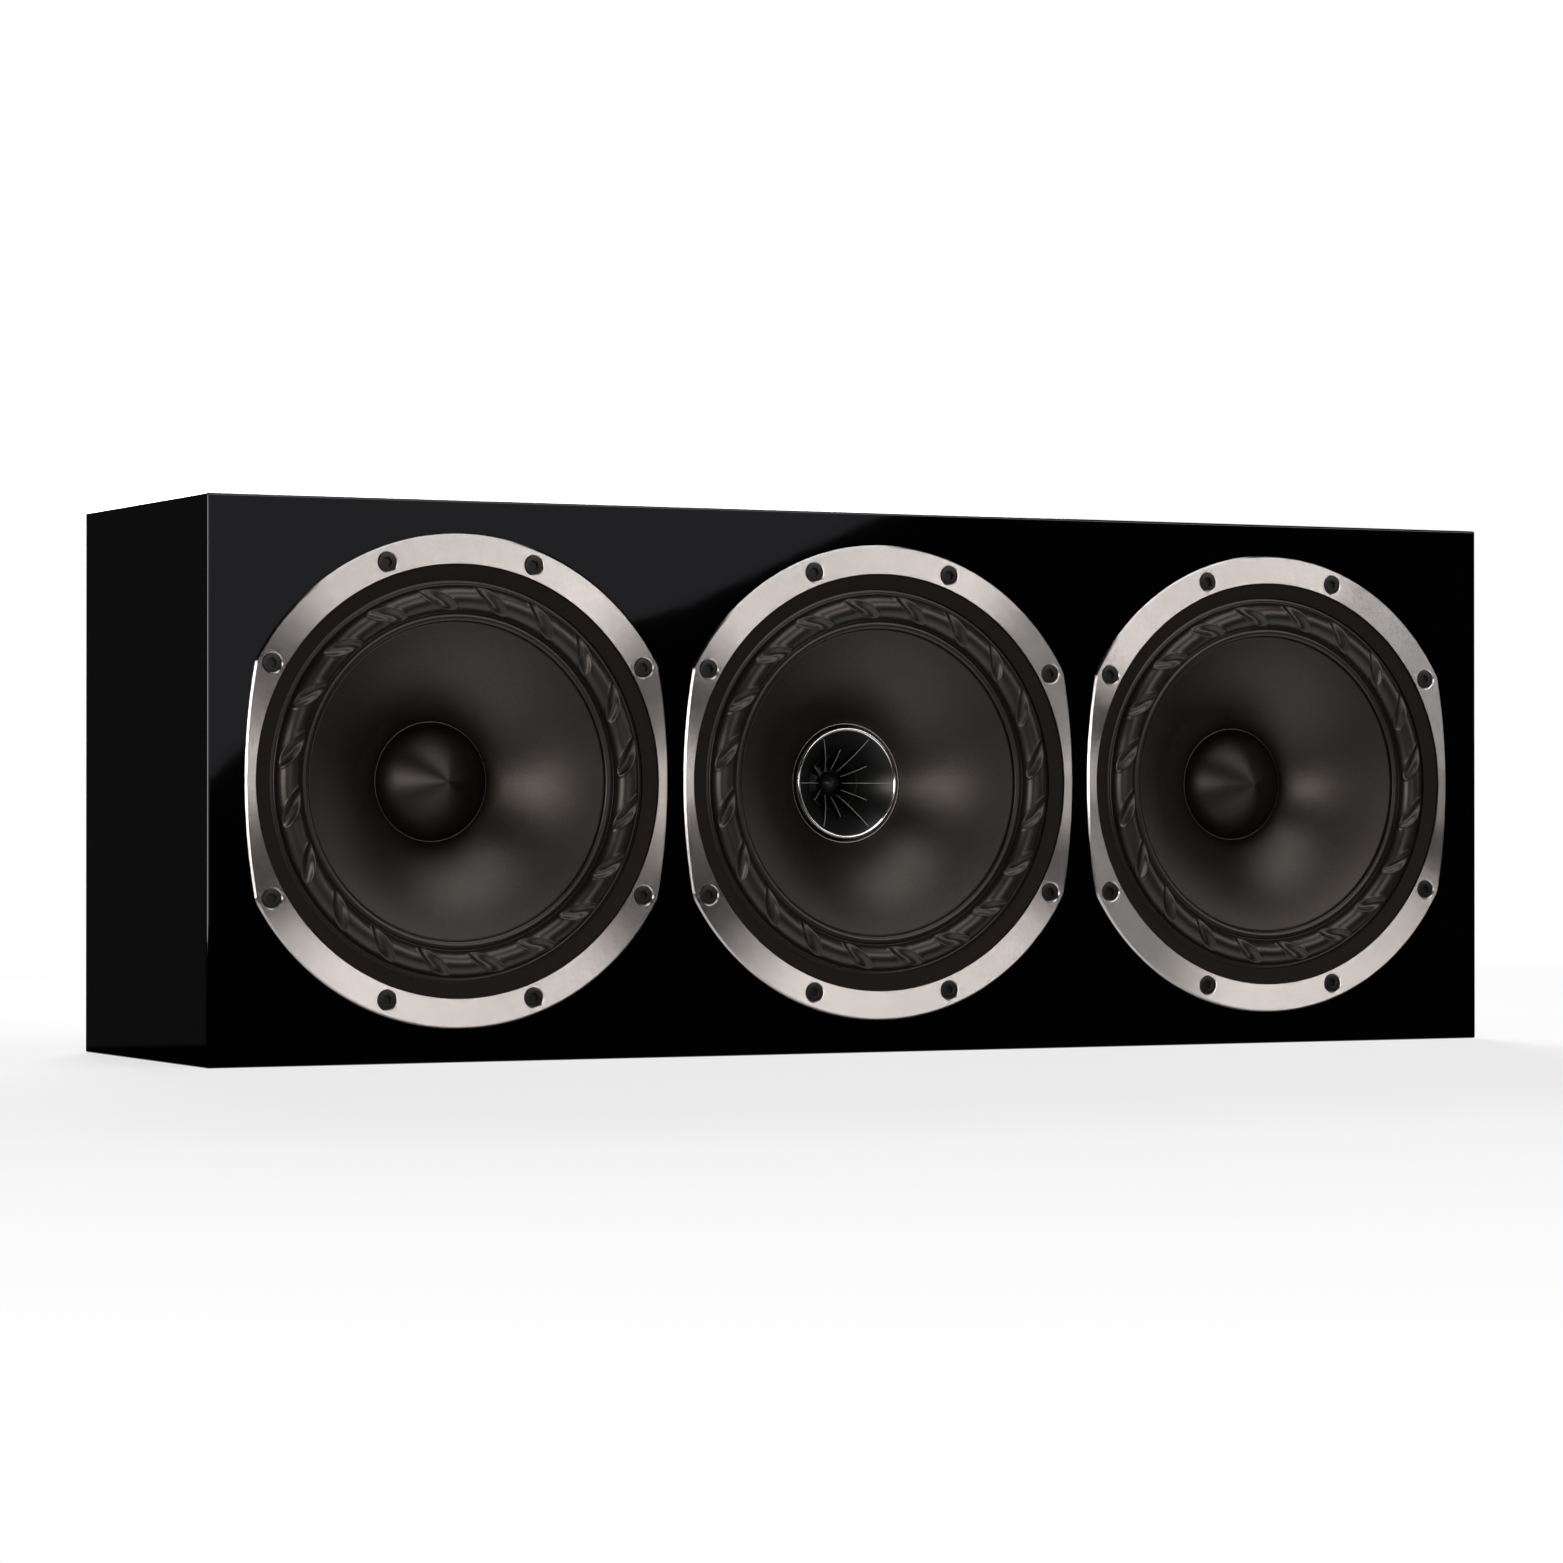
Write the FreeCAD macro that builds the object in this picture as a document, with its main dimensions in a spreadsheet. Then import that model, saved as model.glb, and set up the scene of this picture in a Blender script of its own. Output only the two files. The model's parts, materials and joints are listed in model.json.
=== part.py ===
import FreeCAD, Part
import math
import os
import Sketcher

# Driving dimensions, in millimetres, degrees or plain counts.
# Depths run inwards from the front of the baffle.
SIZES = {
    # Cabinet
    "edge_margin": 15.0,
    "end_margin": 17.5,
    "frame_gap": 8.0,
    "baffle_thickness": 22.0,
    "panel_thickness": 18.0,
    "edge_radius": 1.0,
    "rear_space": 48.0,
    "brace_thickness": 15.0,
    "brace_rim": 32.0,
    "felt_thickness": 20.0,
    "felt_margin": 12.0,
    # Trim frame and its screws
    "frame_radius": 110.0,
    "frame_side_cut": 8.5,
    "frame_side_radius": 285.0,
    "frame_corner_radius": 10.0,
    "frame_ring_width": 13.2,
    "frame_thickness": 4.0,
    "frame_proud": 0.8,
    "frame_bevel_width": 0.8,
    "frame_bevel_depth": 0.75,
    "rebate_clearance": 0.3,
    "screw_inset": 7.1,
    "screw_radius": 2.4,
    "screw_length": 17.0,
    "screw_head_radius": 4.25,
    "screw_head_height": 2.8,
    "screw_socket_radius": 2.3,
    "screw_socket_depth": 1.6,
    "screw_clearance": 0.2,
    "counterbore_clearance": 0.3,
    "counterbore_depth": 2.9,
    "counterbore_bevel": 0.35,
    # Chassis
    "chassis_inset": 1.0,
    "chassis_flange": 5.0,
    "chassis_wall": 5.0,
    "chassis_lip": 2.0,
    "chassis_skirt": 6.0,
    "chassis_floor": 4.0,
    "chassis_floor_hole": 34.0,
    "chassis_clearance": 1.0,
    "spider_shelf": 6.0,
    "window_count": 6,
    "window_angle": 44.0,
    "window_margin": 3.0,
    # Gasket ring
    "gasket_clearance": 0.2,
    "gasket_width": 7.0,
    "gasket_outer_depth": 0.5,
    "gasket_inner_depth": 1.5,
    # Surround
    "roll_gap": 2.3,
    "roll_width": 11.9,
    "roll_wall": 2.2,
    "roll_foot_depth": 2.0,
    "lip_thickness": 0.8,
    "lip_width": 3.8,
    "glue_gap": 0.15,
    "flute_count": 20,
    "flute_first_angle": 8.0,
    "flute_slant": 49.0,
    "flute_length": 13.4,
    "flute_width": 5.4,
    "flute_depth": 1.3,
    # Cone, dust cap and voice coil
    "cone_edge_overlap": 0.2,
    "cone_edge_width": 4.7,
    "cone_thickness": 0.9,
    "cone_curve_radius": 96.0,
    "bass_neck_depth": 37.5,
    "centre_neck_depth": 36.3,
    "bass_coil_radius": 25.0,
    "centre_coil_radius": 27.7,
    "former_thickness": 0.4,
    "former_rise": 0.6,
    "winding_thickness": 1.0,
    "winding_length": 14.0,
    "former_tail": 1.5,
    "neck_collar": 1.8,
    "cap_overhang": 1.3,
    "cap_wall_height": 0.8,
    "cap_shoulder_width": 6.7,
    "cap_shoulder_height": 7.8,
    "cap_shoulder_curve": 30.0,
    "cap_top_height": 13.1,
    "cap_top_curve": 98.0,
    "cap_thickness": 0.8,
    # Spider
    "spider_drop": 16.5,
    "spider_thickness": 0.6,
    "spider_wave": 1.6,
    "spider_waves": 6,
    "spider_clearance": 0.15,
    # Motor
    "motor_drop": 12.0,
    "plate_thickness": 8.0,
    "plate_radius": 56.0,
    "magnet_radius": 62.0,
    "magnet_hole_radius": 35.0,
    "magnet_thickness": 18.0,
    "gap_outer_clearance": 0.8,
    "gap_inner_clearance": 0.6,
    "pole_rise": 3.0,
    "pole_vent_radius": 9.0,
    # Tweeter
    "waveguide_radius": 26.2,
    "waveguide_lip": 1.6,
    "waveguide_lip_bevel": 0.4,
    "waveguide_mouth_depth": 34.8,
    "waveguide_curve_radius": 70.0,
    "throat_radius": 9.5,
    "throat_depth": 55.5,
    "chamber_wall": 3.6,
    "rib_count": 6,
    "rib_thickness": 0.6,
    "rib_sink": 0.8,
    "rib_inner_radius": 5.5,
    "short_rib_radius": 16.0,
    "rib_root": 0.8,
    "plug_clearance": 0.1,
    "plug_tip_depth": 50.0,
    "plug_curve_radius": 9.0,
    "plug_shoulder": 5.0,
    "dome_radius": 12.5,
    "dome_height": 3.4,
    "dome_thickness": 0.4,
    "dome_plug_gap": 0.8,
    "diaphragm_rim": 4.5,
    "diaphragm_clearance": 0.7,
    "tweeter_coil_length": 6.0,
    "pot_clearance": 0.2,
    "pot_bore_radius": 21.2,
    "pot_depth": 20.0,
    "pot_floor": 6.0,
    "pot_gap": 0.8,
    # Terminals
    "terminal_height": 62.0,
    "terminal_plate_width": 118.0,
    "terminal_plate_height": 60.0,
    "terminal_plate_thickness": 3.0,
    "terminal_corner_radius": 6.0,
    "terminal_border": 15.0,
    "terminal_screw_inset": 7.5,
    "terminal_screw_radius": 1.6,
    "terminal_screw_head": 3.2,
    "terminal_screw_rise": 1.8,
    "terminal_screw_top": 2.2,
    "terminal_screw_dome": 3.8,
    "terminal_screw_length": 14.0,
    "post_spacing": 34.0,
    "post_radius": 4.0,
    "post_clearance": 0.1,
    "post_inside": 14.0,
    "post_collar_radius": 8.0,
    "post_collar_height": 3.0,
    "post_bore_radius": 2.0,
    "post_bore_depth": 18.0,
    "post_rim": 0.6,
    "nut_radius": 7.5,
    "nut_height": 5.0,
    "washer_radius": 7.4,
    "washer_thickness": 1.0,
    "knob_radius": 8.6,
    "knob_length": 18.0,
    "knob_flute_count": 18,
    "knob_flute_radius": 0.9,
    "knob_bevel": 0.8,
    # Crossover
    "board_width": 150.0,
    "board_height": 84.0,
    "board_thickness": 1.6,
    "board_lift": 8.0,
    "board_rise": 24.0,
    "spacer_radius": 3.0,
    "spacer_inset": 7.0,
    "inductor_radius": 20.0,
    "inductor_hole": 9.0,
    "inductor_height": 18.0,
    "inductor_rise": 9.0,
    "capacitor_radius": 7.0,
    "capacitor_length": 34.0,
    "capacitor_gap": 4.5,
    "capacitor_inset": 9.0,
}

SCREW_ANGLES = (30, 70, 110, 150, 210, 250, 290, 330)
SIDES = {"left": -1, "centre": 0, "right": 1}
POSTS = {"black": 1, "red": -1}
# How far a flute's cutting path turns, as a multiple of the flute's own half turn
FLUTE_SWEEP = 2.4
# Two places closer than this are taken as one when edges are picked out
NEAR = 0.01

doc = FreeCAD.newDocument("lcr_speaker")
sheet = doc.addObject("Spreadsheet::Sheet", "Sizes")
for row, (alias, number) in enumerate(SIZES.items(), start=1):
    sheet.set(f"A{row}", alias)
    sheet.set(f"B{row}", str(number))
    sheet.setAlias(f"B{row}", alias)
doc.recompute()

NODES = []


class Size:
    """A length that knows its value now and the sheet expression that it follows."""

    def __init__(self, value, text):
        self.value = value
        self.text = text

    def join(self, sign, other, value):
        return Size(value, f"({self.text} {sign} {other.text})")

    def __add__(self, other):
        other = as_size(other)
        return self.join("+", other, self.value + other.value)

    def __sub__(self, other):
        other = as_size(other)
        return self.join("-", other, self.value - other.value)

    def __mul__(self, other):
        other = as_size(other)
        return self.join("*", other, self.value * other.value)

    def __truediv__(self, other):
        other = as_size(other)
        return self.join("/", other, self.value / other.value)

    def __neg__(self):
        return Size(-self.value, f"(-1 * {self.text})")


def as_size(item):
    return item if isinstance(item, Size) else Size(item, repr(float(item)))


def size(alias):
    return Size(sheet.get(alias), f"Sizes.{alias}")


def root(item):
    return Size(math.sqrt(item.value), f"sqrt({item.text})")


# Places worked out from the driving dimensions
frame_half_width = size("frame_radius") - size("frame_side_cut")
driver_pitch = frame_half_width * 2 + size("frame_gap")
cabinet_width = driver_pitch * 2 + frame_half_width * 2 + size("end_margin") * 2
cabinet_height = (size("frame_radius") + size("edge_margin")) * 2
driver_height = cabinet_height / 2
seat_depth = size("frame_thickness") - size("frame_proud")
rebate_depth = seat_depth + size("chassis_flange")
frame_inner = size("frame_radius") - size("frame_ring_width")
gasket_outer = frame_inner - size("gasket_clearance")
gasket_inner = gasket_outer - size("gasket_width")
roll_outer = gasket_inner - size("roll_gap")
roll_inner = roll_outer - size("roll_width")
roll_radius = size("roll_width") / 2
roll_middle = roll_outer - roll_radius
lip_inner = roll_inner - size("lip_width")
lip_back = size("roll_foot_depth") + size("lip_thickness")
cone_outer = roll_inner - size("cone_edge_overlap")
cone_edge = cone_outer - size("cone_edge_width")
cone_front = lip_back + size("glue_gap")
spider_depth = size("bass_neck_depth") + size("spider_drop")
plate_front = spider_depth + size("motor_drop")
plate_back = plate_front + size("plate_thickness")
magnet_back = plate_back + size("magnet_thickness")
yoke_back = magnet_back + size("plate_thickness")
pole_front = plate_front - size("pole_rise")
winding_middle = (plate_front + plate_back) / 2
rear_inside = yoke_back + size("rear_space")
cabinet_depth = rear_inside + size("panel_thickness")
front_y = -cabinet_depth / 2
rear_y = cabinet_depth / 2
basket_outer = gasket_inner + size("chassis_lip") * 2
basket_hole = basket_outer + size("chassis_clearance")
screw_circle = size("frame_radius") - size("screw_inset")
brace_place = driver_pitch / 2
inner_height = cabinet_height - size("panel_thickness") * 2
# Shared sizes of the screws, the tweeter's chamber and the terminals
screw_hole_radius = size("screw_radius") + size("screw_clearance")
counterbore_radius = size("screw_head_radius") + size("counterbore_clearance")
screw_seat_depth = size("counterbore_depth") - size("frame_proud")
screw_tip_depth = screw_seat_depth + size("screw_length")
chamber_front = pole_front - size("chamber_wall")
recess_radius = size("dome_radius") + size("diaphragm_rim") + size("diaphragm_clearance")
rim_front = chamber_front + size("diaphragm_clearance")
dome_front = rim_front - size("dome_height")
plate_outside = size("terminal_plate_thickness")
collar_end = plate_outside + size("post_collar_height")
knob_start = collar_end + size("washer_thickness")
knob_end = knob_start + size("knob_length")
post_hole_radius = size("post_radius") + size("post_clearance")
# The crossover hangs on the rear panel, above the terminals
board_back = rear_inside - size("board_lift")
board_front = board_back - size("board_thickness")
board_low = size("terminal_height") + size("terminal_plate_height") / 2 + size("board_rise")


def place(item, x, y, z):
    for axis, distance in zip("xyz", (x, y, z)):
        item.setExpression(f"Placement.Base.{axis}", as_size(distance).text)


def new_body(label):
    body = doc.addObject("PartDesign::Body", label)
    body.Label = label
    return body


def origin_item(body, role):
    return next(item for item in body.Origin.OriginFeatures if item.Role == role)


def sketch_on(body, role, lift=None):
    sketch = body.newObject("Sketcher::SketchObject", "Outline")
    sketch.AttachmentSupport = [(origin_item(body, role), "")]
    sketch.MapMode = "FlatFace"
    if lift is not None:
        sketch.setExpression("AttachmentOffset.Base.z", as_size(lift).text)
    return sketch


def point(x, y, bend=None):
    """A corner of an outline. A bend gives the radius of the arc that arrives here, positive to the left."""
    return as_size(x), as_size(y), bend


def bend_arc(start, end, bend):
    """The arc from start to end, turning left for a positive bend."""
    middle = (start + end) / 2
    chord = end - start
    left = FreeCAD.Vector(-chord.y, chord.x, 0).normalize()
    radius = abs(bend)
    reach = math.sqrt(max(radius ** 2 - (chord.Length / 2) ** 2, 0))
    centre = middle + left * math.copysign(reach, bend)
    first = math.atan2(start.y - centre.y, start.x - centre.x)
    last = math.atan2(end.y - centre.y, end.x - centre.x)
    if bend < 0:
        first, last = last, first
    circle = Part.Circle(centre, FreeCAD.Vector(0, 0, 1), radius)
    return Part.ArcOfCircle(circle, first, last)


def tie(sketch, kind, geometry, vertex, distance, axis_line):
    """Hold one coordinate of a vertex at a distance from the sketch's origin."""
    if distance.text == "0.0":
        sketch.addConstraint(Sketcher.Constraint("PointOnObject", geometry, vertex, axis_line))
        return
    number = sketch.addConstraint(Sketcher.Constraint(kind, -1, 1, geometry, vertex, distance.value))
    sketch.setExpression(f"Constraints[{number}]", distance.text)


def draw(sketch, corners):
    """Draw a closed outline of straight lines and arcs, each corner held by the sheet."""
    edges = []
    for index, (x, y, bend) in enumerate(corners):
        before = corners[index - 1]
        start = FreeCAD.Vector(before[0].value, before[1].value, 0)
        end = FreeCAD.Vector(x.value, y.value, 0)
        if bend is None:
            edge = sketch.addGeometry(Part.LineSegment(start, end), False)
            edges.append((edge, 1, 2))
            continue
        edge = sketch.addGeometry(bend_arc(start, end, bend.value), False)
        edges.append((edge, 1, 2) if bend.value > 0 else (edge, 2, 1))
    joins = []
    for index, (edge, first, last) in enumerate(edges):
        following = edges[(index + 1) % len(edges)]
        joins.append(Sketcher.Constraint("Coincident", edge, last, following[0], following[1]))
    sketch.addConstraint(joins)
    for (edge, first, last), (x, y, bend) in zip(edges, corners):
        tie(sketch, "DistanceX", edge, last, x, -2)
        tie(sketch, "DistanceY", edge, last, y, -1)
        if bend is not None:
            radius = bend if bend.value > 0 else -bend
            number = sketch.addConstraint(Sketcher.Constraint("Radius", edge, radius.value))
            sketch.setExpression(f"Constraints[{number}]", radius.text)


def draw_circle(sketch, x, y, radius):
    centre = FreeCAD.Vector(as_size(x).value, as_size(y).value, 0)
    edge = sketch.addGeometry(Part.Circle(centre, FreeCAD.Vector(0, 0, 1), radius.value), False)
    tie(sketch, "DistanceX", edge, 3, as_size(x), -2)
    tie(sketch, "DistanceY", edge, 3, as_size(y), -1)
    number = sketch.addConstraint(Sketcher.Constraint("Radius", edge, radius.value))
    sketch.setExpression(f"Constraints[{number}]", radius.text)


def box_corners(x_low, x_high, y_low, y_high):
    return [point(x_low, y_low), point(x_high, y_low), point(x_high, y_high), point(x_low, y_high)]


def hexagon(radius):
    turns = [math.pi / 3 * n for n in range(6)]
    return [point(radius * math.cos(turn), radius * math.sin(turn)) for turn in turns]


def pad(body, sketch, length, reverse=False, middle=False):
    feature = body.newObject("PartDesign::Pad", "Pad")
    feature.Profile = sketch
    feature.setExpression("Length", as_size(length).text)
    feature.Reversed = reverse
    feature.Midplane = middle
    return feature


def pocket(body, sketch, length, reverse=False):
    """Cut a sketch into the body, and make sure that material was removed."""
    doc.recompute()
    before = body.Shape.Volume
    feature = body.newObject("PartDesign::Pocket", "Pocket")
    feature.Profile = sketch
    feature.setExpression("Length", as_size(length).text)
    feature.Reversed = reverse
    doc.recompute()
    if body.Shape.Volume >= before:
        raise RuntimeError(f"{body.Label}: a pocket removed nothing")
    return feature


def revolve(body, corners):
    sketch = sketch_on(body, "XY_Plane")
    draw(sketch, corners)
    feature = body.newObject("PartDesign::Revolution", "Turned")
    feature.Profile = sketch
    feature.ReferenceAxis = (sketch, ["V_Axis"])
    feature.Angle = 360
    return feature


def pattern(body, feature, count):
    copies = body.newObject("PartDesign::PolarPattern", "Ring")
    copies.Originals = [feature]
    copies.Axis = (origin_item(body, "Y_Axis"), [""])
    copies.Angle = 360
    copies.setExpression("Occurrences", count.text)
    body.Tip = copies
    return copies


def dress(body, kind, settings, wanted):
    """Round or bevel the edges of the body's shape that a test picks out."""
    doc.recompute()
    names = [f"Edge{index}" for index, edge in enumerate(body.Shape.Edges, start=1) if wanted(edge)]
    base = body.Tip
    feature = body.newObject(kind, "Dressed")
    feature.Base = (base, names)
    for name, length in settings.items():
        feature.setExpression(name, length.text)
    return feature


def keep(item):
    NODES.append(item)
    return item


def at_driver(body, side):
    place(body, driver_pitch * SIDES[side], front_y, driver_height)
    return keep(body)


def turned(label, side, corners):
    body = new_body(label)
    revolve(body, corners)
    return at_driver(body, side)


def frame_outline(inset):
    """The frame's outline about its own centre: a circle with gently bowed sides."""
    circle = size("frame_radius") - inset
    half_width = frame_half_width - inset
    bow = size("frame_side_radius") - inset
    bow_centre = half_width - bow
    corner_x = (circle * circle - bow * bow + bow_centre * bow_centre) / (bow_centre * 2)
    corner_z = root(circle * circle - corner_x * corner_x)
    return [
        point(corner_x, -corner_z, circle),
        point(corner_x, corner_z, bow),
        point(-corner_x, corner_z, circle),
        point(-corner_x, -corner_z, bow),
    ]


def shift(corners, x, y):
    return [(corner_x + x, corner_y + y, bend) for corner_x, corner_y, bend in corners]


def screw_places():
    for angle in SCREW_ANGLES:
        turn = math.radians(angle)
        yield screw_circle * math.cos(turn), screw_circle * math.sin(turn)


def outer_edges(width, height):
    """A test for the edges that lie on the outside corners of a board that covers the cabinet's end."""

    def wanted(edge):
        middle = edge.valueAt((edge.FirstParameter + edge.LastParameter) / 2)
        on_end = abs(abs(middle.x) - width.value / 2) < NEAR
        on_rim = min(abs(middle.z), abs(middle.z - height.value)) < NEAR
        return on_end or on_rim

    return wanted


def cabinet_end(label, depth, thickness, outer_face):
    """A board that covers the whole front or back of the cabinet, with rounded outer edges."""
    body = new_body(label)
    sketch = sketch_on(body, "XZ_Plane")
    draw(sketch, box_corners(-cabinet_width / 2, cabinet_width / 2, 0, cabinet_height))
    pad(body, sketch, thickness, reverse=True)
    place(body, 0, front_y + depth, 0)
    doc.recompute()
    on_outside = outer_edges(cabinet_width, cabinet_height)
    face_y = front_y.value + depth.value + (thickness.value if outer_face > 0 else 0)
    inner_y = front_y.value + depth.value + (0 if outer_face > 0 else thickness.value)

    def wanted(edge):
        box = edge.BoundBox
        on_inner_face = abs(box.YMin - inner_y) < NEAR and abs(box.YMax - inner_y) < NEAR
        return not on_inner_face and (on_outside(edge) or abs(box.YMin - face_y) < NEAR)

    dress(body, "PartDesign::Fillet", {"Radius": size("edge_radius")}, wanted)
    return keep(body)


def front_baffle():
    body = cabinet_end("front_baffle", as_size(0), size("baffle_thickness"), -1)
    rebates = sketch_on(body, "XZ_Plane")
    for step in SIDES.values():
        draw(rebates, shift(frame_outline(-size("rebate_clearance")), driver_pitch * step, driver_height))
    pocket(body, rebates, rebate_depth)
    holes = sketch_on(body, "XZ_Plane")
    for step in SIDES.values():
        draw_circle(holes, driver_pitch * step, driver_height, basket_hole)
    pocket(body, holes, size("baffle_thickness"))
    pilots = sketch_on(body, "XZ_Plane")
    for step in SIDES.values():
        for x, z in screw_places():
            draw_circle(pilots, driver_pitch * step + x, driver_height + z, screw_hole_radius)
    pocket(body, pilots, screw_tip_depth + size("screw_clearance"))


def rear_panel():
    body = cabinet_end("rear_panel", rear_inside, size("panel_thickness"), 1)
    opening = sketch_on(body, "XZ_Plane")
    half_width = size("terminal_plate_width") / 2 - size("terminal_border")
    half_height = size("terminal_plate_height") / 2 - size("terminal_border")
    middle = size("terminal_height")
    draw(opening, box_corners(-half_width, half_width, middle - half_height, middle + half_height))
    pocket(body, opening, size("panel_thickness"))
    pilots = sketch_on(body, "XZ_Plane", -size("panel_thickness"))
    for x, z in terminal_screw_places():
        draw_circle(pilots, x, middle + z, size("terminal_screw_radius") + size("screw_clearance"))
    pocket(body, pilots, size("terminal_screw_length"), reverse=True)


def carcass_board(label, x_low, x_high, z_low, z_high, rounded):
    """A board that runs from the baffle to the rear panel."""
    body = new_body(label)
    sketch = sketch_on(body, "XZ_Plane")
    draw(sketch, box_corners(x_low, x_high, z_low, z_high))
    pad(body, sketch, rear_inside - size("baffle_thickness"), reverse=True)
    place(body, 0, front_y + size("baffle_thickness"), 0)
    if rounded:
        on_outside = outer_edges(cabinet_width, cabinet_height)

        def wanted(edge):
            box = edge.BoundBox
            corner = abs(box.XMin - box.XMax) < NEAR and abs(box.ZMin - box.ZMax) < NEAR
            rim = min(abs(box.ZMin), abs(box.ZMin - cabinet_height.value)) < NEAR
            return corner and rim and on_outside(edge)

        dress(body, "PartDesign::Fillet", {"Radius": size("edge_radius")}, wanted)
    return keep(body)


def carcass():
    half = cabinet_width / 2
    wall = size("panel_thickness")
    carcass_board("bottom_panel", -half, half, as_size(0), wall, True)
    carcass_board("top_panel", -half, half, cabinet_height - wall, cabinet_height, True)
    carcass_board("left_side_panel", -half, wall - half, wall, cabinet_height - wall, False)
    carcass_board("right_side_panel", half - wall, half, wall, cabinet_height - wall, False)


def brace(step):
    """A window brace that joins the baffle, the rear panel, the top and the bottom."""
    body = new_body("brace")
    sketch = sketch_on(body, "YZ_Plane")
    length = rear_inside - size("baffle_thickness")
    rim = size("brace_rim")
    draw(sketch, box_corners(0, length, 0, inner_height))
    draw(sketch, box_corners(rim, length - rim, rim, inner_height - rim))
    pad(body, sketch, size("brace_thickness"), middle=True)
    place(body, brace_place * step, front_y + size("baffle_thickness"), size("panel_thickness"))
    return body


def felt(step):
    """A pad of damping felt on the rear panel, between a brace and the side of the cabinet."""
    inner_end = brace_place + size("brace_thickness") / 2 + size("felt_margin")
    outer_end = cabinet_width / 2 - size("panel_thickness") - size("felt_margin")
    item = doc.addObject("Part::Box", "felt")
    item.setExpression("Length", (outer_end - inner_end).text)
    item.setExpression("Width", size("felt_thickness").text)
    item.setExpression("Height", (inner_height - size("felt_margin") * 2).text)
    left = inner_end if step > 0 else -outer_end
    lowest = size("panel_thickness") + size("felt_margin")
    place(item, left, front_y + rear_inside - size("felt_thickness"), lowest)
    return item


def group(label, items):
    """Separate like solids that share one node."""
    item = doc.addObject("Part::Compound", label)
    item.Label = label
    item.Links = items
    return keep(item)


def trim_frame(side):
    body = new_body(f"{side}_trim_frame")
    at_driver(body, side)
    sketch = sketch_on(body, "XZ_Plane", size("frame_proud"))
    draw(sketch, frame_outline(as_size(0)))
    draw_circle(sketch, 0, 0, frame_inner)
    pad(body, sketch, size("frame_thickness"), reverse=True)
    centre = FreeCAD.Vector(driver_pitch.value * SIDES[side], 0, driver_height.value)
    face_y = front_y.value - size("frame_proud").value

    def corner(edge):
        box = edge.BoundBox
        reach = math.hypot(box.Center.x - centre.x, box.Center.z - centre.z)
        return isinstance(edge.Curve, Part.Line) and reach > frame_inner.value + NEAR

    def front_rim(edge):
        box = edge.BoundBox
        middle = edge.valueAt((edge.FirstParameter + edge.LastParameter) / 2)
        reach = math.hypot(middle.x - centre.x, middle.z - centre.z)
        flat = abs(box.YMin - face_y) < NEAR and abs(box.YMax - face_y) < NEAR
        return flat and reach > frame_inner.value + NEAR

    def hole_rim(edge):
        box = edge.BoundBox
        flat = abs(box.YMin - face_y) < NEAR and abs(box.YMax - face_y) < NEAR
        round_edge = flat and isinstance(edge.Curve, Part.Circle)
        return round_edge and edge.Curve.Radius < counterbore_radius.value + NEAR

    dress(body, "PartDesign::Fillet", {"Radius": size("frame_corner_radius")}, corner)
    bevel = dress(body, "PartDesign::Chamfer", {}, front_rim)
    bevel.ChamferType = "Two distances"
    bevel.setExpression("Size", size("frame_bevel_width").text)
    bevel.setExpression("Size2", size("frame_bevel_depth").text)
    seats = sketch_on(body, "XZ_Plane", size("frame_proud"))
    holes = sketch_on(body, "XZ_Plane", size("frame_proud"))
    for x, z in screw_places():
        draw_circle(seats, x, z, counterbore_radius)
        draw_circle(holes, x, z, screw_hole_radius)
    pocket(body, seats, size("counterbore_depth"))
    pocket(body, holes, size("frame_thickness"))
    dress(body, "PartDesign::Chamfer", {"Size": size("counterbore_bevel")}, hole_rim)


def chassis(side):
    """The cast basket: a flange under the trim frame, six legs and a floor that carries the motor."""
    body = new_body(f"{side}_chassis")
    at_driver(body, side)
    flange = sketch_on(body, "XZ_Plane", -seat_depth)
    draw(flange, frame_outline(size("chassis_inset")))
    wall_inner = gasket_inner - size("chassis_lip")
    draw_circle(flange, 0, 0, wall_inner)
    pad(body, flange, size("chassis_flange"), reverse=True)
    flange_middle = seat_depth + size("chassis_flange") / 2
    skirt_end = rebate_depth + size("chassis_skirt")
    shelf_outer = size("plate_radius") + size("spider_shelf")
    floor_front = plate_front - size("chassis_floor")
    revolve(body, [
        point(wall_inner, flange_middle),
        point(basket_outer, flange_middle),
        point(basket_outer, skirt_end),
        point(shelf_outer + size("chassis_wall"), floor_front),
        point(shelf_outer + size("chassis_wall"), plate_front),
        point(size("chassis_floor_hole"), plate_front),
        point(size("chassis_floor_hole"), floor_front),
        point(size("plate_radius"), floor_front),
        point(size("plate_radius"), spider_depth),
        point(shelf_outer, spider_depth),
        point(wall_inner, skirt_end),
    ])
    window = sketch_on(body, "XZ_Plane", -skirt_end)
    inner = shelf_outer + size("chassis_wall") + size("chassis_clearance")
    outer = wall_inner - size("window_margin")
    half_turn = math.radians(size("window_angle").value / 2)
    cosine = math.cos(half_turn)
    sine = math.sin(half_turn)
    draw(window, [
        point(outer * cosine, -outer * sine),
        point(outer * cosine, outer * sine, outer),
        point(inner * cosine, inner * sine),
        point(inner * cosine, -inner * sine, -inner),
    ])
    cut = pocket(body, window, plate_front - skirt_end)
    pattern(body, cut, size("window_count"))
    holes = sketch_on(body, "XZ_Plane", -seat_depth)
    for x, z in screw_places():
        draw_circle(holes, x, z, screw_hole_radius)
    pocket(body, holes, size("chassis_flange"))


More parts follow.
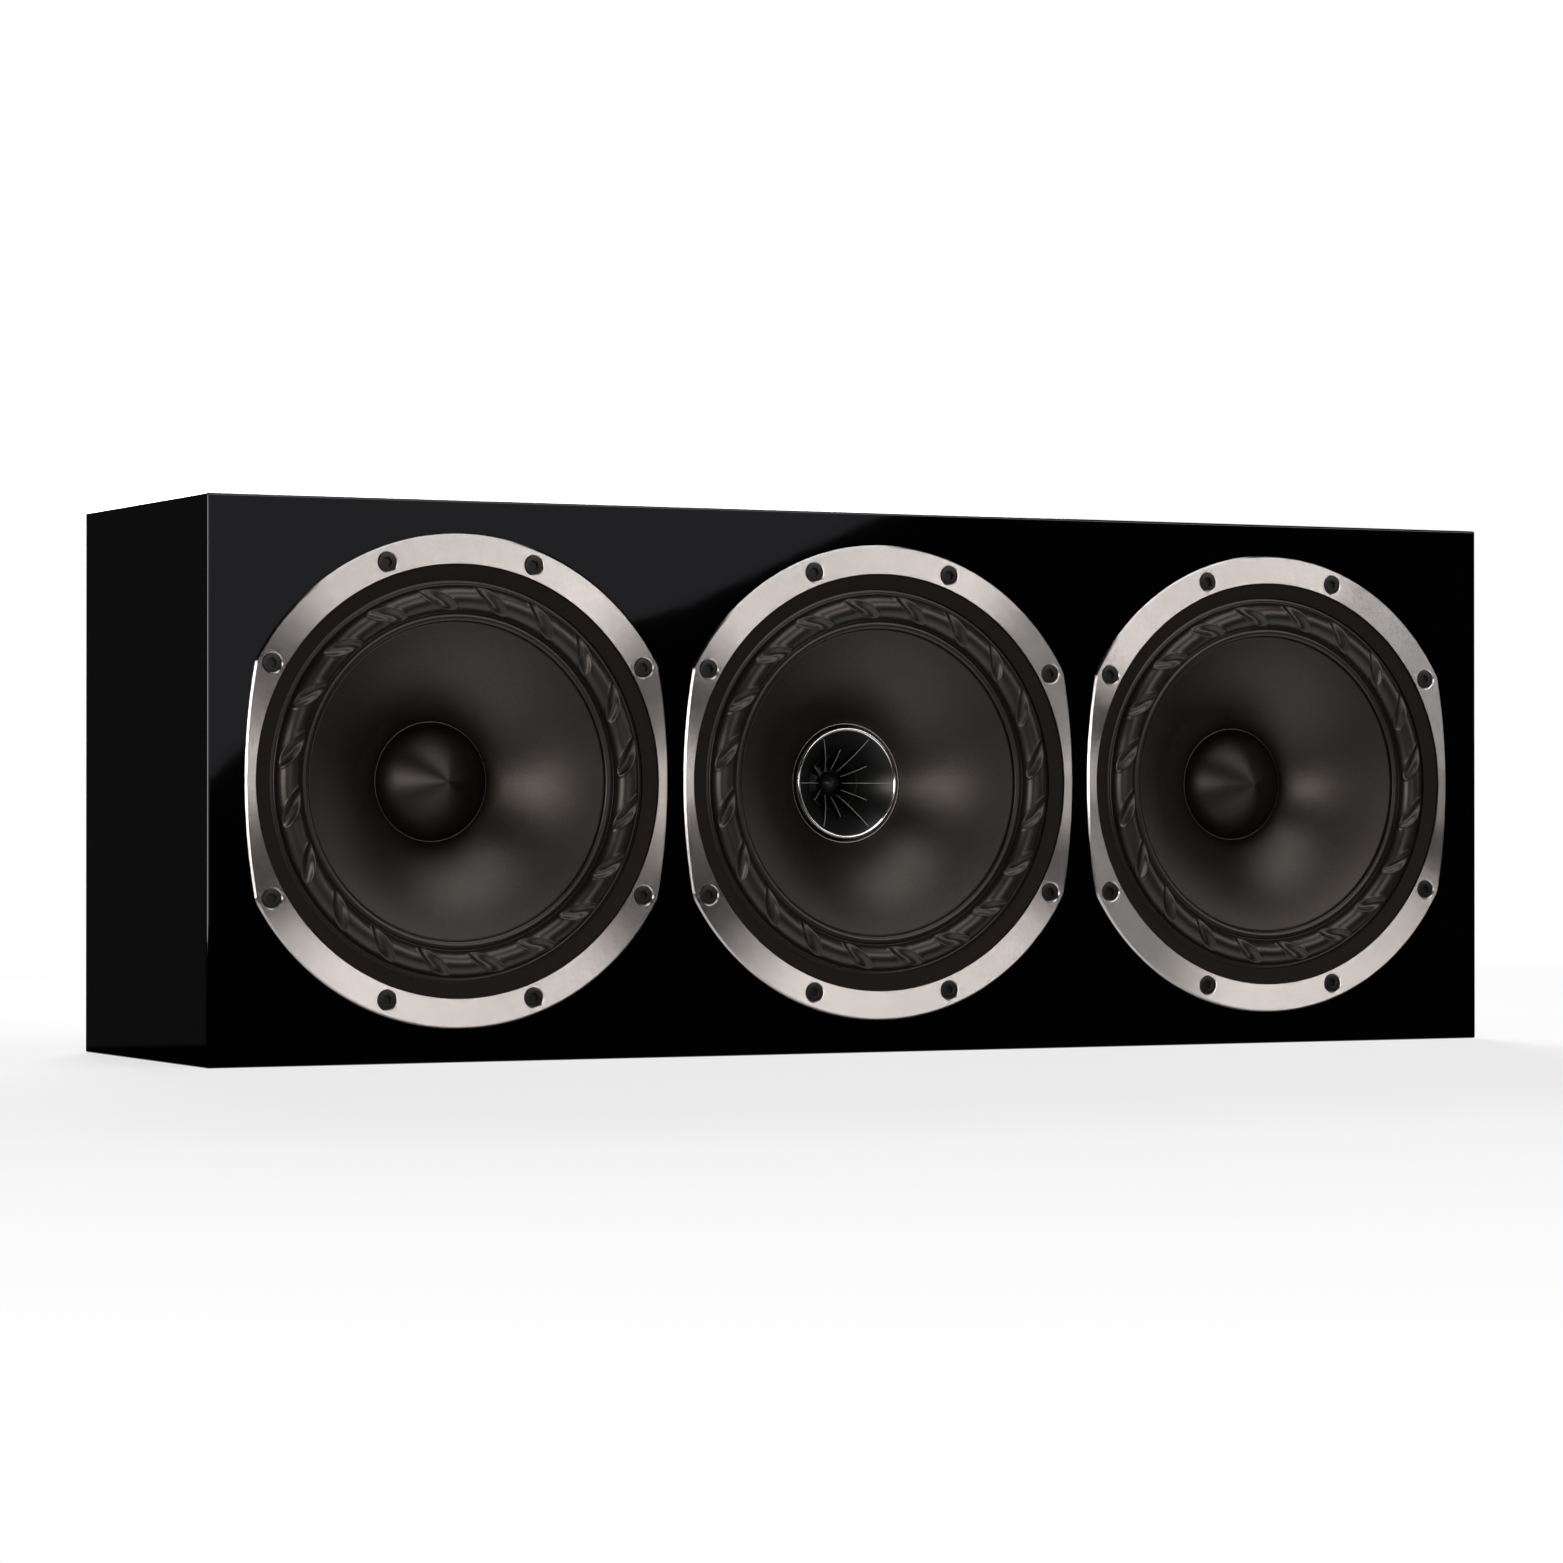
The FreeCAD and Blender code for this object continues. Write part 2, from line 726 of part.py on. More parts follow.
def gasket_ring(side):
    back = seat_depth - size("lip_thickness")
    turned(f"{side}_gasket_ring", side, [
        point(gasket_inner, back),
        point(gasket_inner, size("gasket_inner_depth")),
        point(gasket_outer, size("gasket_outer_depth")),
        point(gasket_outer, back),
    ])


def surround(side):
    """A rubber half roll between the chassis and the cone, with slanting leaf-shaped flutes."""
    body = new_body(f"{side}_surround")
    foot = size("roll_foot_depth")
    under = roll_radius - size("roll_wall")
    revolve(body, [
        point(gasket_outer, seat_depth),
        point(gasket_outer, seat_depth - size("lip_thickness")),
        point(roll_outer, seat_depth - size("lip_thickness")),
        point(roll_outer, foot),
        point(roll_middle, foot - roll_radius, -roll_radius),
        point(roll_inner, foot, -roll_radius),
        point(lip_inner, foot),
        point(lip_inner, lip_back),
        point(roll_middle - under, lip_back),
        point(roll_middle - under, foot),
        point(roll_middle, foot - under, under),
        point(roll_middle + under, foot, under),
        point(roll_middle + under, seat_depth),
    ])
    half_length = size("flute_length") / 2
    across = half_length * math.sin(math.radians(size("flute_slant").value))
    fall = roll_radius - root(roll_radius * roll_radius - across * across)
    deep = size("flute_depth")
    sag = fall - deep
    path_radius = (half_length * half_length + sag * sag) / (sag * 2)
    half_width = size("flute_width") / 2
    tool_radius = (half_width * half_width + deep * deep) / (deep * 2)
    turn = math.radians(size("flute_first_angle").value)
    lean = turn + math.pi / 2 - math.radians(size("flute_slant").value)
    outwards = FreeCAD.Vector(0, -1, 0)
    along = FreeCAD.Vector(math.cos(lean), 0, math.sin(lean))
    axis = along.cross(outwards)
    sketch = sketch_on(body, "XY_Plane")
    sketch.AttachmentOffset = FreeCAD.Placement(
        FreeCAD.Vector(0, 0, 0), FreeCAD.Rotation(outwards, axis, outwards.cross(axis), "ZXY"))
    centre = (
        roll_middle * math.cos(turn),
        foot - roll_radius + deep + path_radius,
        roll_middle * math.sin(turn),
    )
    for name, distance in zip("xyz", centre):
        sketch.setExpression(f"AttachmentOffset.Base.{name}", distance.text)
    draw_circle(sketch, path_radius + tool_radius, 0, tool_radius)
    flute = body.newObject("PartDesign::Groove", "Flute")
    flute.Profile = sketch
    flute.ReferenceAxis = (sketch, ["V_Axis"])
    flute.Midplane = True
    flute.Angle = FLUTE_SWEEP * math.degrees(math.asin(half_length.value / path_radius.value))
    pattern(body, flute, size("flute_count"))
    at_driver(body, side)


def neck(side):
    """The radius of the former's outside, and the depth at which the cone meets it."""
    coil = size("centre_coil_radius" if side == "centre" else "bass_coil_radius")
    depth = size("centre_neck_depth" if side == "centre" else "bass_neck_depth")
    return coil, coil + size("former_thickness"), depth


def cone(side):
    coil, former, depth = neck(side)
    thick = size("cone_thickness")
    bend = size("cone_curve_radius")
    turned(f"{side}_cone", side, [
        point(cone_outer, cone_front),
        point(cone_edge, cone_front),
        point(former, depth, -bend),
        point(former, depth + size("neck_collar")),
        point(cone_edge, cone_front + thick, bend - thick),
        point(cone_outer, cone_front + thick),
    ])


def cone_depth(side, radius):
    """The depth of the cone's front face at a radius."""
    coil, former, depth = neck(side)
    bend = size("cone_curve_radius")
    run = cone_edge - former
    fall = depth - cone_front
    chord = root(run * run + fall * fall)
    reach = root(bend * bend - chord * chord / 4)
    centre_radius = (cone_edge + former) / 2 + reach * fall / chord
    centre_depth = (cone_front + depth) / 2 + reach * run / chord
    offset = centre_radius - radius
    return centre_depth - root(bend * bend - offset * offset)


def dust_cap(side):
    """A pointed cap that stands on the cone just outside the former."""
    coil, former, depth = neck(side)
    wall = size("cap_thickness")
    outer = former + size("cap_overhang")
    inner = outer - wall
    foot = cone_depth(side, outer) - size("glue_gap")
    wall_top = foot - size("cap_wall_height")
    shoulder = wall_top - size("cap_shoulder_height")
    shoulder_radius = outer - size("cap_shoulder_width")
    tip = shoulder - size("cap_top_height")
    turned(f"{side}_dust_cap", side, [
        point(outer, foot),
        point(outer, wall_top),
        point(shoulder_radius, shoulder, -size("cap_shoulder_curve")),
        point(0, tip, -size("cap_top_curve")),
        point(0, tip + wall),
        point(shoulder_radius - wall / 2, shoulder + wall, size("cap_top_curve") - wall),
        point(inner, wall_top, size("cap_shoulder_curve") - wall),
        point(inner, cone_depth(side, inner) - size("glue_gap")),
    ])


def voice_coil(side):
    """The winding on its former, made as one piece."""
    coil, former, depth = neck(side)
    start = winding_middle - size("winding_length") / 2
    end = winding_middle + size("winding_length") / 2
    outside = former + size("winding_thickness")
    front = depth + size("former_rise")
    turned(f"{side}_voice_coil", side, [
        point(coil, front),
        point(former, front),
        point(former, start),
        point(outside, start),
        point(outside, end),
        point(former, end),
        point(former, end + size("former_tail")),
        point(coil, end + size("former_tail")),
    ])


def spider(side):
    """A corrugated disc that centres the coil, glued to the chassis shelf at its rim."""
    coil, former, depth = neck(side)
    inner = former + size("spider_clearance")
    outer = size("plate_radius")
    thick = size("spider_thickness")
    back = spider_depth
    folds = 2 * int(size("spider_waves").value)
    step = (outer - inner) / folds
    wave = [point(inner + step * n, back - size("spider_wave") * (n % 2)) for n in range(folds + 1)]
    rim = point(outer + size("spider_shelf") - size("chassis_clearance"), back)
    back_line = wave + [rim]
    front_line = [point(x, y - thick) for x, y, bend in reversed(back_line)]
    turned(f"{side}_spider", side, back_line + front_line)


def motor(side):
    coil, former, depth = neck(side)
    gap_outer = former + size("winding_thickness") + size("gap_outer_clearance")
    pole = coil - size("gap_inner_clearance")
    hole = size("pot_bore_radius" if side == "centre" else "pole_vent_radius")
    turned(f"{side}_top_plate", side, box_corners(gap_outer, size("plate_radius"), plate_front, plate_back))
    turned(f"{side}_magnet", side, box_corners(
        size("magnet_hole_radius"), size("magnet_radius"), plate_back, magnet_back))
    turned(f"{side}_yoke", side, [
        point(hole, pole_front),
        point(pole, pole_front),
        point(pole, magnet_back),
        point(size("plate_radius"), magnet_back),
        point(size("plate_radius"), yoke_back),
        point(hole, yoke_back),
    ])


def rib(body, reach, turn):
    """One set of thin ribs that run outwards from the plug, proud of the horn's wall."""
    mouth = size("waveguide_radius") - size("waveguide_lip")
    inner = size("rib_inner_radius")
    front = size("waveguide_mouth_depth") + size("rib_sink")
    slope = (size("plug_tip_depth") + size("rib_sink") - front) / (mouth - inner)
    back = size("throat_depth") + size("rib_root")
    sketch = sketch_on(body, "XY_Plane")
    sketch.AttachmentOffset = FreeCAD.Placement(
        FreeCAD.Vector(0, 0, 0), FreeCAD.Rotation(FreeCAD.Vector(0, 1, 0), turn))
    draw(sketch, [
        point(inner, front + slope * (mouth - inner)),
        point(reach, front + slope * (mouth - reach)),
        point(reach, back),
        point(inner, back),
    ])
    return pattern(body, pad(body, sketch, size("rib_thickness"), middle=True), size("rib_count"))


def waveguide():
    """The tweeter's horn, seated on the hollow pole, with long and short ribs in turn."""
    body = new_body("tweeter_waveguide")
    outer = size("waveguide_radius")
    mouth = size("waveguide_mouth_depth")
    lip = size("waveguide_lip")
    bevel = size("waveguide_lip_bevel")
    revolve(body, [
        point(outer, pole_front),
        point(outer, mouth + bevel),
        point(outer - bevel, mouth),
        point(outer - lip + bevel, mouth),
        point(outer - lip, mouth + bevel),
        point(size("throat_radius"), size("throat_depth"), -size("waveguide_curve_radius")),
        point(size("throat_radius"), chamber_front - size("chamber_wall") / 2),
        point(size("dome_radius") + size("diaphragm_clearance"), chamber_front),
        point(recess_radius, chamber_front),
        point(recess_radius, pole_front),
    ])
    rib(body, outer - lip + size("rib_root"), 0)
    rib(body, size("short_rib_radius"), 180 / size("rib_count").value)
    at_driver(body, "centre")


def phase_plug():
    outer = size("rib_inner_radius") - size("plug_clearance")
    tip = size("plug_tip_depth")
    turned("tweeter_phase_plug", "centre", [
        point(outer, tip + size("plug_shoulder")),
        point(0, tip, -size("plug_curve_radius")),
        point(0, dome_front - size("dome_plug_gap")),
        point(outer, dome_front - size("dome_plug_gap")),
    ])


def diaphragm():
    """The tweeter's dome, with its flat rim and the tube that carries its coil."""
    wall = size("dome_thickness")
    dome = size("dome_radius")
    height = size("dome_height")
    bend = (dome * dome + height * height) / (height * 2)
    turned("tweeter_diaphragm", "centre", [
        point(dome + size("diaphragm_rim"), rim_front),
        point(dome, rim_front),
        point(0, dome_front, -bend),
        point(0, dome_front + wall),
        point(dome - wall, rim_front + wall, bend - wall),
        point(dome - wall, rim_front + size("tweeter_coil_length")),
        point(dome, rim_front + size("tweeter_coil_length")),
        point(dome, rim_front + wall),
        point(dome + size("diaphragm_rim"), rim_front + wall),
    ])


def tweeter_motor():
    pot_outer = size("pot_bore_radius") - size("pot_clearance")
    pot_inner = size("dome_radius") + size("pot_gap")
    floor = pole_front + size("pot_depth")
    turned("tweeter_pot", "centre", [
        point(pot_inner, pole_front),
        point(pot_outer, pole_front),
        point(pot_outer, floor + size("pot_floor")),
        point(0, floor + size("pot_floor")),
        point(0, floor),
        point(pot_inner, floor),
    ])
    magnet = size("dome_radius") - size("dome_thickness") - size("pot_gap")
    turned("tweeter_magnet", "centre", [
        point(0, rim_front + size("dome_height")),
        point(magnet, rim_front + size("dome_height")),
        point(magnet, floor),
        point(0, floor),
    ])


def terminal_screw_places():
    half_width = size("terminal_plate_width") / 2 - size("terminal_screw_inset")
    half_height = size("terminal_plate_height") / 2 - size("terminal_screw_inset")
    for across in (-1, 1):
        for up in (-1, 1):
            yield half_width * across, half_height * up


def copies(source, places):
    """Placed copies of a finished solid, kept together as one node's separate solids."""
    doc.recompute()
    solids = []
    for base in places:
        solid = source.Shape.copy()
        solid.Placement = FreeCAD.Placement(base, FreeCAD.Rotation())
        solids.append(solid)
    return Part.Compound(solids)


def fixed_group(label, source, places):
    shape = copies(source, places)
    item = doc.addObject("Part::Feature", label)
    item.Label = label
    item.Shape = shape
    return keep(item)


def driver_screws():
    """One socket-head screw, repeated around every trim frame."""
    body = new_body("socket_screw")
    head_front = screw_seat_depth - size("screw_head_height")
    revolve(body, [
        point(0, head_front),
        point(size("screw_head_radius"), head_front),
        point(size("screw_head_radius"), screw_seat_depth),
        point(size("screw_radius"), screw_seat_depth),
        point(size("screw_radius"), screw_tip_depth),
        point(0, screw_tip_depth),
    ])
    socket = sketch_on(body, "XZ_Plane", -head_front)
    draw(socket, hexagon(size("screw_socket_radius")))
    pocket(body, socket, size("screw_socket_depth"))
    places = []
    for step in SIDES.values():
        for x, z in screw_places():
            places.append(FreeCAD.Vector(
                driver_pitch.value * step + x.value, front_y.value, driver_height.value + z.value))
    fixed_group("driver_screws", body, places)


def terminal_plate():
    body = new_body("terminal_plate")
    half_width = size("terminal_plate_width") / 2
    half_height = size("terminal_plate_height") / 2
    sketch = sketch_on(body, "XZ_Plane")
    draw(sketch, box_corners(-half_width, half_width, -half_height, half_height))
    pad(body, sketch, size("terminal_plate_thickness"), reverse=True)

    def corner(edge):
        box = edge.BoundBox
        return abs(box.XMin - box.XMax) < NEAR and abs(box.ZMin - box.ZMax) < NEAR

    dress(body, "PartDesign::Fillet", {"Radius": size("terminal_corner_radius")}, corner)
    holes = sketch_on(body, "XZ_Plane")
    for x, z in terminal_screw_places():
        draw_circle(holes, x, z, size("terminal_screw_radius") + size("screw_clearance"))
    for step in POSTS.values():
        draw_circle(holes, size("post_spacing") / 2 * step, 0, post_hole_radius)
    pocket(body, holes, size("terminal_plate_thickness"))
    place(body, 0, rear_y, size("terminal_height"))
    keep(body)


def terminal_screws():
    body = new_body("terminal_screw")
    seat = size("terminal_plate_thickness")
    head = size("terminal_screw_head")
    revolve(body, [
        point(0, seat - size("terminal_screw_length")),
        point(size("terminal_screw_radius"), seat - size("terminal_screw_length")),
        point(size("terminal_screw_radius"), seat),
        point(head, seat),
        point(size("terminal_screw_top"), seat + size("terminal_screw_rise"), size("terminal_screw_dome")),
        point(0, seat + size("terminal_screw_rise")),
    ])
    places = []
    for x, z in terminal_screw_places():
        places.append(FreeCAD.Vector(x.value, rear_y.value, size("terminal_height").value + z.value))
    fixed_group("terminal_screws", body, places)


def at_post(body, step):
    place(body, size("post_spacing") / 2 * step, rear_y, size("terminal_height"))
    return keep(body)


def post(colour, step):
    """A threaded post with a collar on the plate and a plug socket in its end."""
    body = new_body(f"{colour}_post")
    outer = size("post_radius")
    collar = size("post_collar_radius")
    end = knob_end - size("post_rim")
    bore = size("post_bore_radius")
    floor = end - size("post_bore_depth")
    revolve(body, [
        point(0, -size("post_inside")),
        point(outer, -size("post_inside")),
        point(outer, plate_outside),
        point(collar, plate_outside),
        point(collar, collar_end),
        point(outer, collar_end),
        point(outer, end),
        point(bore, end),
        point(bore, floor),
        point(0, floor),
    ])
    at_post(body, step)


def post_nuts():
    nuts = []
    for step in POSTS.values():
        body = new_body("nut")
        sketch = sketch_on(body, "XZ_Plane")
        draw(sketch, hexagon(size("nut_radius")))
        draw_circle(sketch, 0, 0, post_hole_radius)
        pad(body, sketch, size("nut_height"))
        place(body, size("post_spacing") / 2 * step, rear_y, size("terminal_height"))
        nuts.append(body)
    group("post_nuts", nuts)


def washer(colour, step):
    body = new_body(f"{colour}_washer")
    revolve(body, box_corners(post_hole_radius, size("washer_radius"), collar_end, knob_start))
    at_post(body, step)


def knob(colour, step):
    """A fluted clamp knob that screws along the post."""
    body = new_body(f"{colour}_knob")
    outer = size("knob_radius")
    bevel = size("knob_bevel")
    revolve(body, [
        point(post_hole_radius, knob_start),
        point(outer - bevel, knob_start),
        point(outer, knob_start + bevel),
        point(outer, knob_end - bevel),
        point(outer - bevel, knob_end),
        point(post_hole_radius, knob_end),
    ])
    flute = sketch_on(body, "XZ_Plane", -knob_start)
    draw_circle(flute, outer, 0, size("knob_flute_radius"))
    cut = pocket(body, flute, size("knob_length"))
    pattern(body, cut, size("knob_flute_count"))
    at_post(body, step)


def crossover_board():
    item = doc.addObject("Part::Box", "crossover_board")
    item.Label = "crossover_board"
    item.setExpression("Length", size("board_width").text)
    item.setExpression("Width", size("board_thickness").text)
    item.setExpression("Height", size("board_height").text)
    place(item, -size("board_width") / 2, front_y + board_front, board_low)
    keep(item)


def board_spacers():
    spacers = []
    for across in (-1, 1):
        for up in (0, 1):
            body = new_body("spacer")
            sketch = sketch_on(body, "XZ_Plane")
            draw_circle(sketch, 0, 0, size("spacer_radius"))
            pad(body, sketch, size("board_lift"))
            x = (size("board_width") / 2 - size("spacer_inset")) * across
            inset = size("spacer_inset") * (1 - 2 * up)
            place(body, x, front_y + rear_inside, board_low + size("board_height") * up + inset)
            spacers.append(body)
    group("board_spacers", spacers)


def inductors():
    coils = []
    for across in (-1, 1):
        body = new_body("inductor")
        sketch = sketch_on(body, "XZ_Plane")
        draw_circle(sketch, 0, 0, size("inductor_radius"))
        draw_circle(sketch, 0, 0, size("inductor_hole"))
        pad(body, sketch, size("inductor_height"))
        x = (size("board_width") / 4) * across
        place(body, x, front_y + board_front, board_low + size("board_height") / 2 + size("inductor_rise"))
        coils.append(body)
    group("crossover_inductors", coils)


def capacitors():
    rolls = []
    for across in (-1, 0, 1):
        item = doc.addObject("Part::Cylinder", "capacitor")
        item.setExpression("Radius", size("capacitor_radius").text)
        item.setExpression("Height", size("capacitor_length").text)
        item.Placement = FreeCAD.Placement(
            FreeCAD.Vector(0, 0, 0), FreeCAD.Rotation(FreeCAD.Vector(0, 1, 0), 90))
        x = (size("capacitor_length") + size("capacitor_gap")) * across - size("capacitor_length") / 2
        z = board_low + size("capacitor_inset")
        place(item, x, front_y + board_front - size("capacitor_radius"), z)
        rolls.append(item)
    group("crossover_capacitors", rolls)


front_baffle()
rear_panel()
carcass()
group("cabinet_braces", [brace(-1), brace(1)])
group("damping_felts", [felt(-1), felt(1)])
for side in SIDES:
    trim_frame(side)
    chassis(side)
    gasket_ring(side)
    surround(side)
    cone(side)
    voice_coil(side)
    spider(side)
    motor(side)
for side in ("left", "right"):
    dust_cap(side)
driver_screws()
waveguide()
phase_plug()
diaphragm()
tweeter_motor()
terminal_plate()
terminal_screws()
for colour, step in POSTS.items():
    post(colour, step)
    washer(colour, step)
    knob(colour, step)
post_nuts()
crossover_board()
board_spacers()
inductors()
capacitors()

doc.recompute()
for item in doc.Objects:
    if "Invalid" in item.State or "Error" in item.State:
        raise RuntimeError(f"{item.Label}: {item.State}")
for item in NODES:
    if item.Shape.isNull() or not item.Shape.isValid() or not item.Shape.Solids:
        raise RuntimeError(f"{item.Label}: its shape is not a sound solid")

os.makedirs("parts", exist_ok=True)
for item in NODES:
    item.Shape.exportStep(os.path.join("parts", f"{item.Label}.step"))
    box = item.Shape.BoundBox
    print(f"{item.Label}: {len(item.Shape.Solids)} solid, {item.Shape.Volume / 1000:.2f} cm3,"
          f" y {box.YMin:.2f} to {box.YMax:.2f}")
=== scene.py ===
"""The looks of a gloss black three-unit loudspeaker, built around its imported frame. Lengths are in metres."""
import json
import math

import bmesh
import bpy
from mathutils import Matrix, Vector
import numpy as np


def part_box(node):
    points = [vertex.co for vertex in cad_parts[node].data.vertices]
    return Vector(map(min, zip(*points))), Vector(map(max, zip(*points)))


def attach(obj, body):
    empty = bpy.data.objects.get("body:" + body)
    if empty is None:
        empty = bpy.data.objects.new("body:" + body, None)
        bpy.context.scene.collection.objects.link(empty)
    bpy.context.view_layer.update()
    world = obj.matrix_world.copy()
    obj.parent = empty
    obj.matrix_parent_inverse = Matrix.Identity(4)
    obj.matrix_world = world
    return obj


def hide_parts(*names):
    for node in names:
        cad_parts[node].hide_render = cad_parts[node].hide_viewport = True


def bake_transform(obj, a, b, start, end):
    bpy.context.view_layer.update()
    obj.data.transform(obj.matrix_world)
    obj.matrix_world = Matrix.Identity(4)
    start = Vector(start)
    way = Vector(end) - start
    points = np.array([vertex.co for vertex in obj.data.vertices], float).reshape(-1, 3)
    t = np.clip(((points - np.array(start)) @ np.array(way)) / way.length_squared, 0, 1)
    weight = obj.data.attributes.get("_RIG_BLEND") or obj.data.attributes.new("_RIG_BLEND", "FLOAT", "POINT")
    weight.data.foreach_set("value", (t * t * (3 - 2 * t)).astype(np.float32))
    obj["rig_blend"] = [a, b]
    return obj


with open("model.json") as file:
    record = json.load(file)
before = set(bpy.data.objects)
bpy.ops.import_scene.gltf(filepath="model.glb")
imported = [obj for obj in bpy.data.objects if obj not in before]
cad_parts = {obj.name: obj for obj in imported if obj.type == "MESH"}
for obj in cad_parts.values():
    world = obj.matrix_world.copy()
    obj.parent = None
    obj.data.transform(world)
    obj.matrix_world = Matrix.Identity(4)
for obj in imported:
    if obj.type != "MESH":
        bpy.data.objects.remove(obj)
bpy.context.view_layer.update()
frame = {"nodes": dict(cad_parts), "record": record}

MM = 0.001
SIDES = ("left", "centre", "right")

SHARP_ANGLE = math.radians(35)
MERGE_DISTANCE = 0.01 * MM

# The surround. Radii are from the drive unit's axis, and depths inwards from the front of the baffle
ROLL_OUTER = 87.3 * MM
ROLL_INNER = 75.4 * MM
SURROUND = {
    "Lip inner radius": 71.2 * MM,
    "Roll inner radius": ROLL_INNER,
    "Roll outer radius": ROLL_OUTER,
    "Rim radius": 96.6 * MM,
    "Foot depth": 2.0 * MM,
    "Flange step": 0.4 * MM,
    "Flat thickness": 0.75 * MM,
    "Roll thickness": 2.1 * MM,
    "Lip swell": 0.95 * MM,
    "Bead offset": 1.0 * MM,
    "Bead width": 1.0 * MM,
    "Bead height": 0.3 * MM,
    "Flute count": 20,
    "First flute": math.radians(8),
    "Flute slant": math.radians(34),
    "Flute length": 18.4 * MM,
    "Flute width": 5.8 * MM,
    "Flute depth": 1.8 * MM,
    "Flute softness": 0.05,
    "Rim height": 0.2 * MM,
    "Rim width": 0.26,
}

# The bends, in radians from either foot of the roll, between which a flute comes in
FLUTE_START = 0.05
FLUTE_FULL = 0.25

# How quickly the rubber's back leaves the flat thickness as the roll rises
BACK_RISE = 4.0

# The surround's mesh: steps around it, and rows from the lip outwards and back behind
SURROUND_STEPS = 1360
LIP_ROWS = 9
ROLL_ROWS = 40
BEAD_ROWS = 6
FLANGE_ROWS = 2
BACK_ROWS = 14
BEAD_REACH = 2.4 * MM

# The horn: a half-round lip, a flaring wall down to the throat, and thin ribs along it
HORN_RADIUS = 26.2 * MM
HORN_MOUTH_DEPTH = 34.8 * MM
HORN_LIP_ROUND = 0.8 * MM
HORN_LIP_TURN = math.radians(45)
HORN_LIP_ROWS = 12
HORN_WALL_START = (24.6 * MM, 35.2 * MM)
HORN_THROAT = (9.5 * MM, 55.5 * MM)
HORN_CURVE = 70.0 * MM
HORN_BACK_DEPTH = 63.0 * MM
HORN_CHAMBER = (
    (9.5 * MM, 57.6 * MM),
    (13.2 * MM, 59.4 * MM),
    (17.7 * MM, 59.4 * MM),
    (17.7 * MM, HORN_BACK_DEPTH),
)
HORN_STEPS = 180
HORN_WALL_ROWS = 24
RIB_COUNT = 6
RIB_THICKNESS = 0.45 * MM
RIB_ROOT = 0.6 * MM
RIB_INNER = (6.0 * MM, 53.0 * MM)
RIB_OUTER = (24.7 * MM, 35.4 * MM)
RIB_CURVE = 70.0 * MM
SHORT_RIB_RADIUS = 16.0 * MM
RIB_STEPS = 40
RIB_ROWS = 16
RIB_END_POWER = 40.0
RIB_FOOT_POWER = 20.0
LIP_BLEND = 0.1 * MM
THROAT_RING_RADIUS = 12.5 * MM
THROAT_RING_ROUND = 0.22 * MM

# How far a rib's surface faces the front where its colour turns from black to the light grey of a painted
# highlight
RIB_PAINTED_HIGHLIGHT = (0.25, 0.7)

# The round beads, and the bead of glue around a dust cap
BEAD_POINTS = 12
SEAM_RADIUS = 26.95 * MM
SEAM_DEPTH = 35.55 * MM
SEAM_ROUND = 0.4 * MM

# Socket screws around each trim frame, and the smaller ones of the terminal plate
SCREW_COUNT = 24
SCREWS_A_FRAME = 8
SCREWS_A_ROW = 4
SCREW_CIRCLE = 102.9 * MM
SCREW_FIRST = math.radians(30)
SCREW_PITCH = math.radians(40)
SCREW_SEED = 11
SCREW_STEPS = 36
SCREW_RIM_ROWS = 5
SOCKET_TAPER = 0.95
SOCKET_CHAMFER = 0.2 * MM

# Radii of the head, its round edge, the socket and the shank, and depths of the rest, in millimetres
FRAME_SCREW = {"head": 4.25, "top": -0.7, "seat": 2.1, "rim": 0.5, "socket": 2.3, "socket_depth": 1.6,
               "shank": 2.4, "tip": 19.1}
PLATE_SCREW = {"head": 3.2, "top": -1.8, "seat": 0.0, "rim": 1.4, "socket": 1.3, "socket_depth": 1.2,
               "shank": 1.6, "tip": 14.0}

# Sockets that share their name with others on a node, by number
MIX_COLOURS = (6, 7)
MIX_COLOUR_OUT = 2
RANDOM_LIMITS = (2, 3)
RANDOM_NUMBER_OUT = 1

baffle_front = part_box("front_baffle")[0].y


def axis_of(node):
    """Where the axis of a round node meets the front of the baffle."""
    low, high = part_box(node)
    middle = (low + high) / 2
    return Vector((middle.x, baffle_front, middle.z))


CENTRES = {side: axis_of(f"{side}_trim_frame") for side in SIDES}


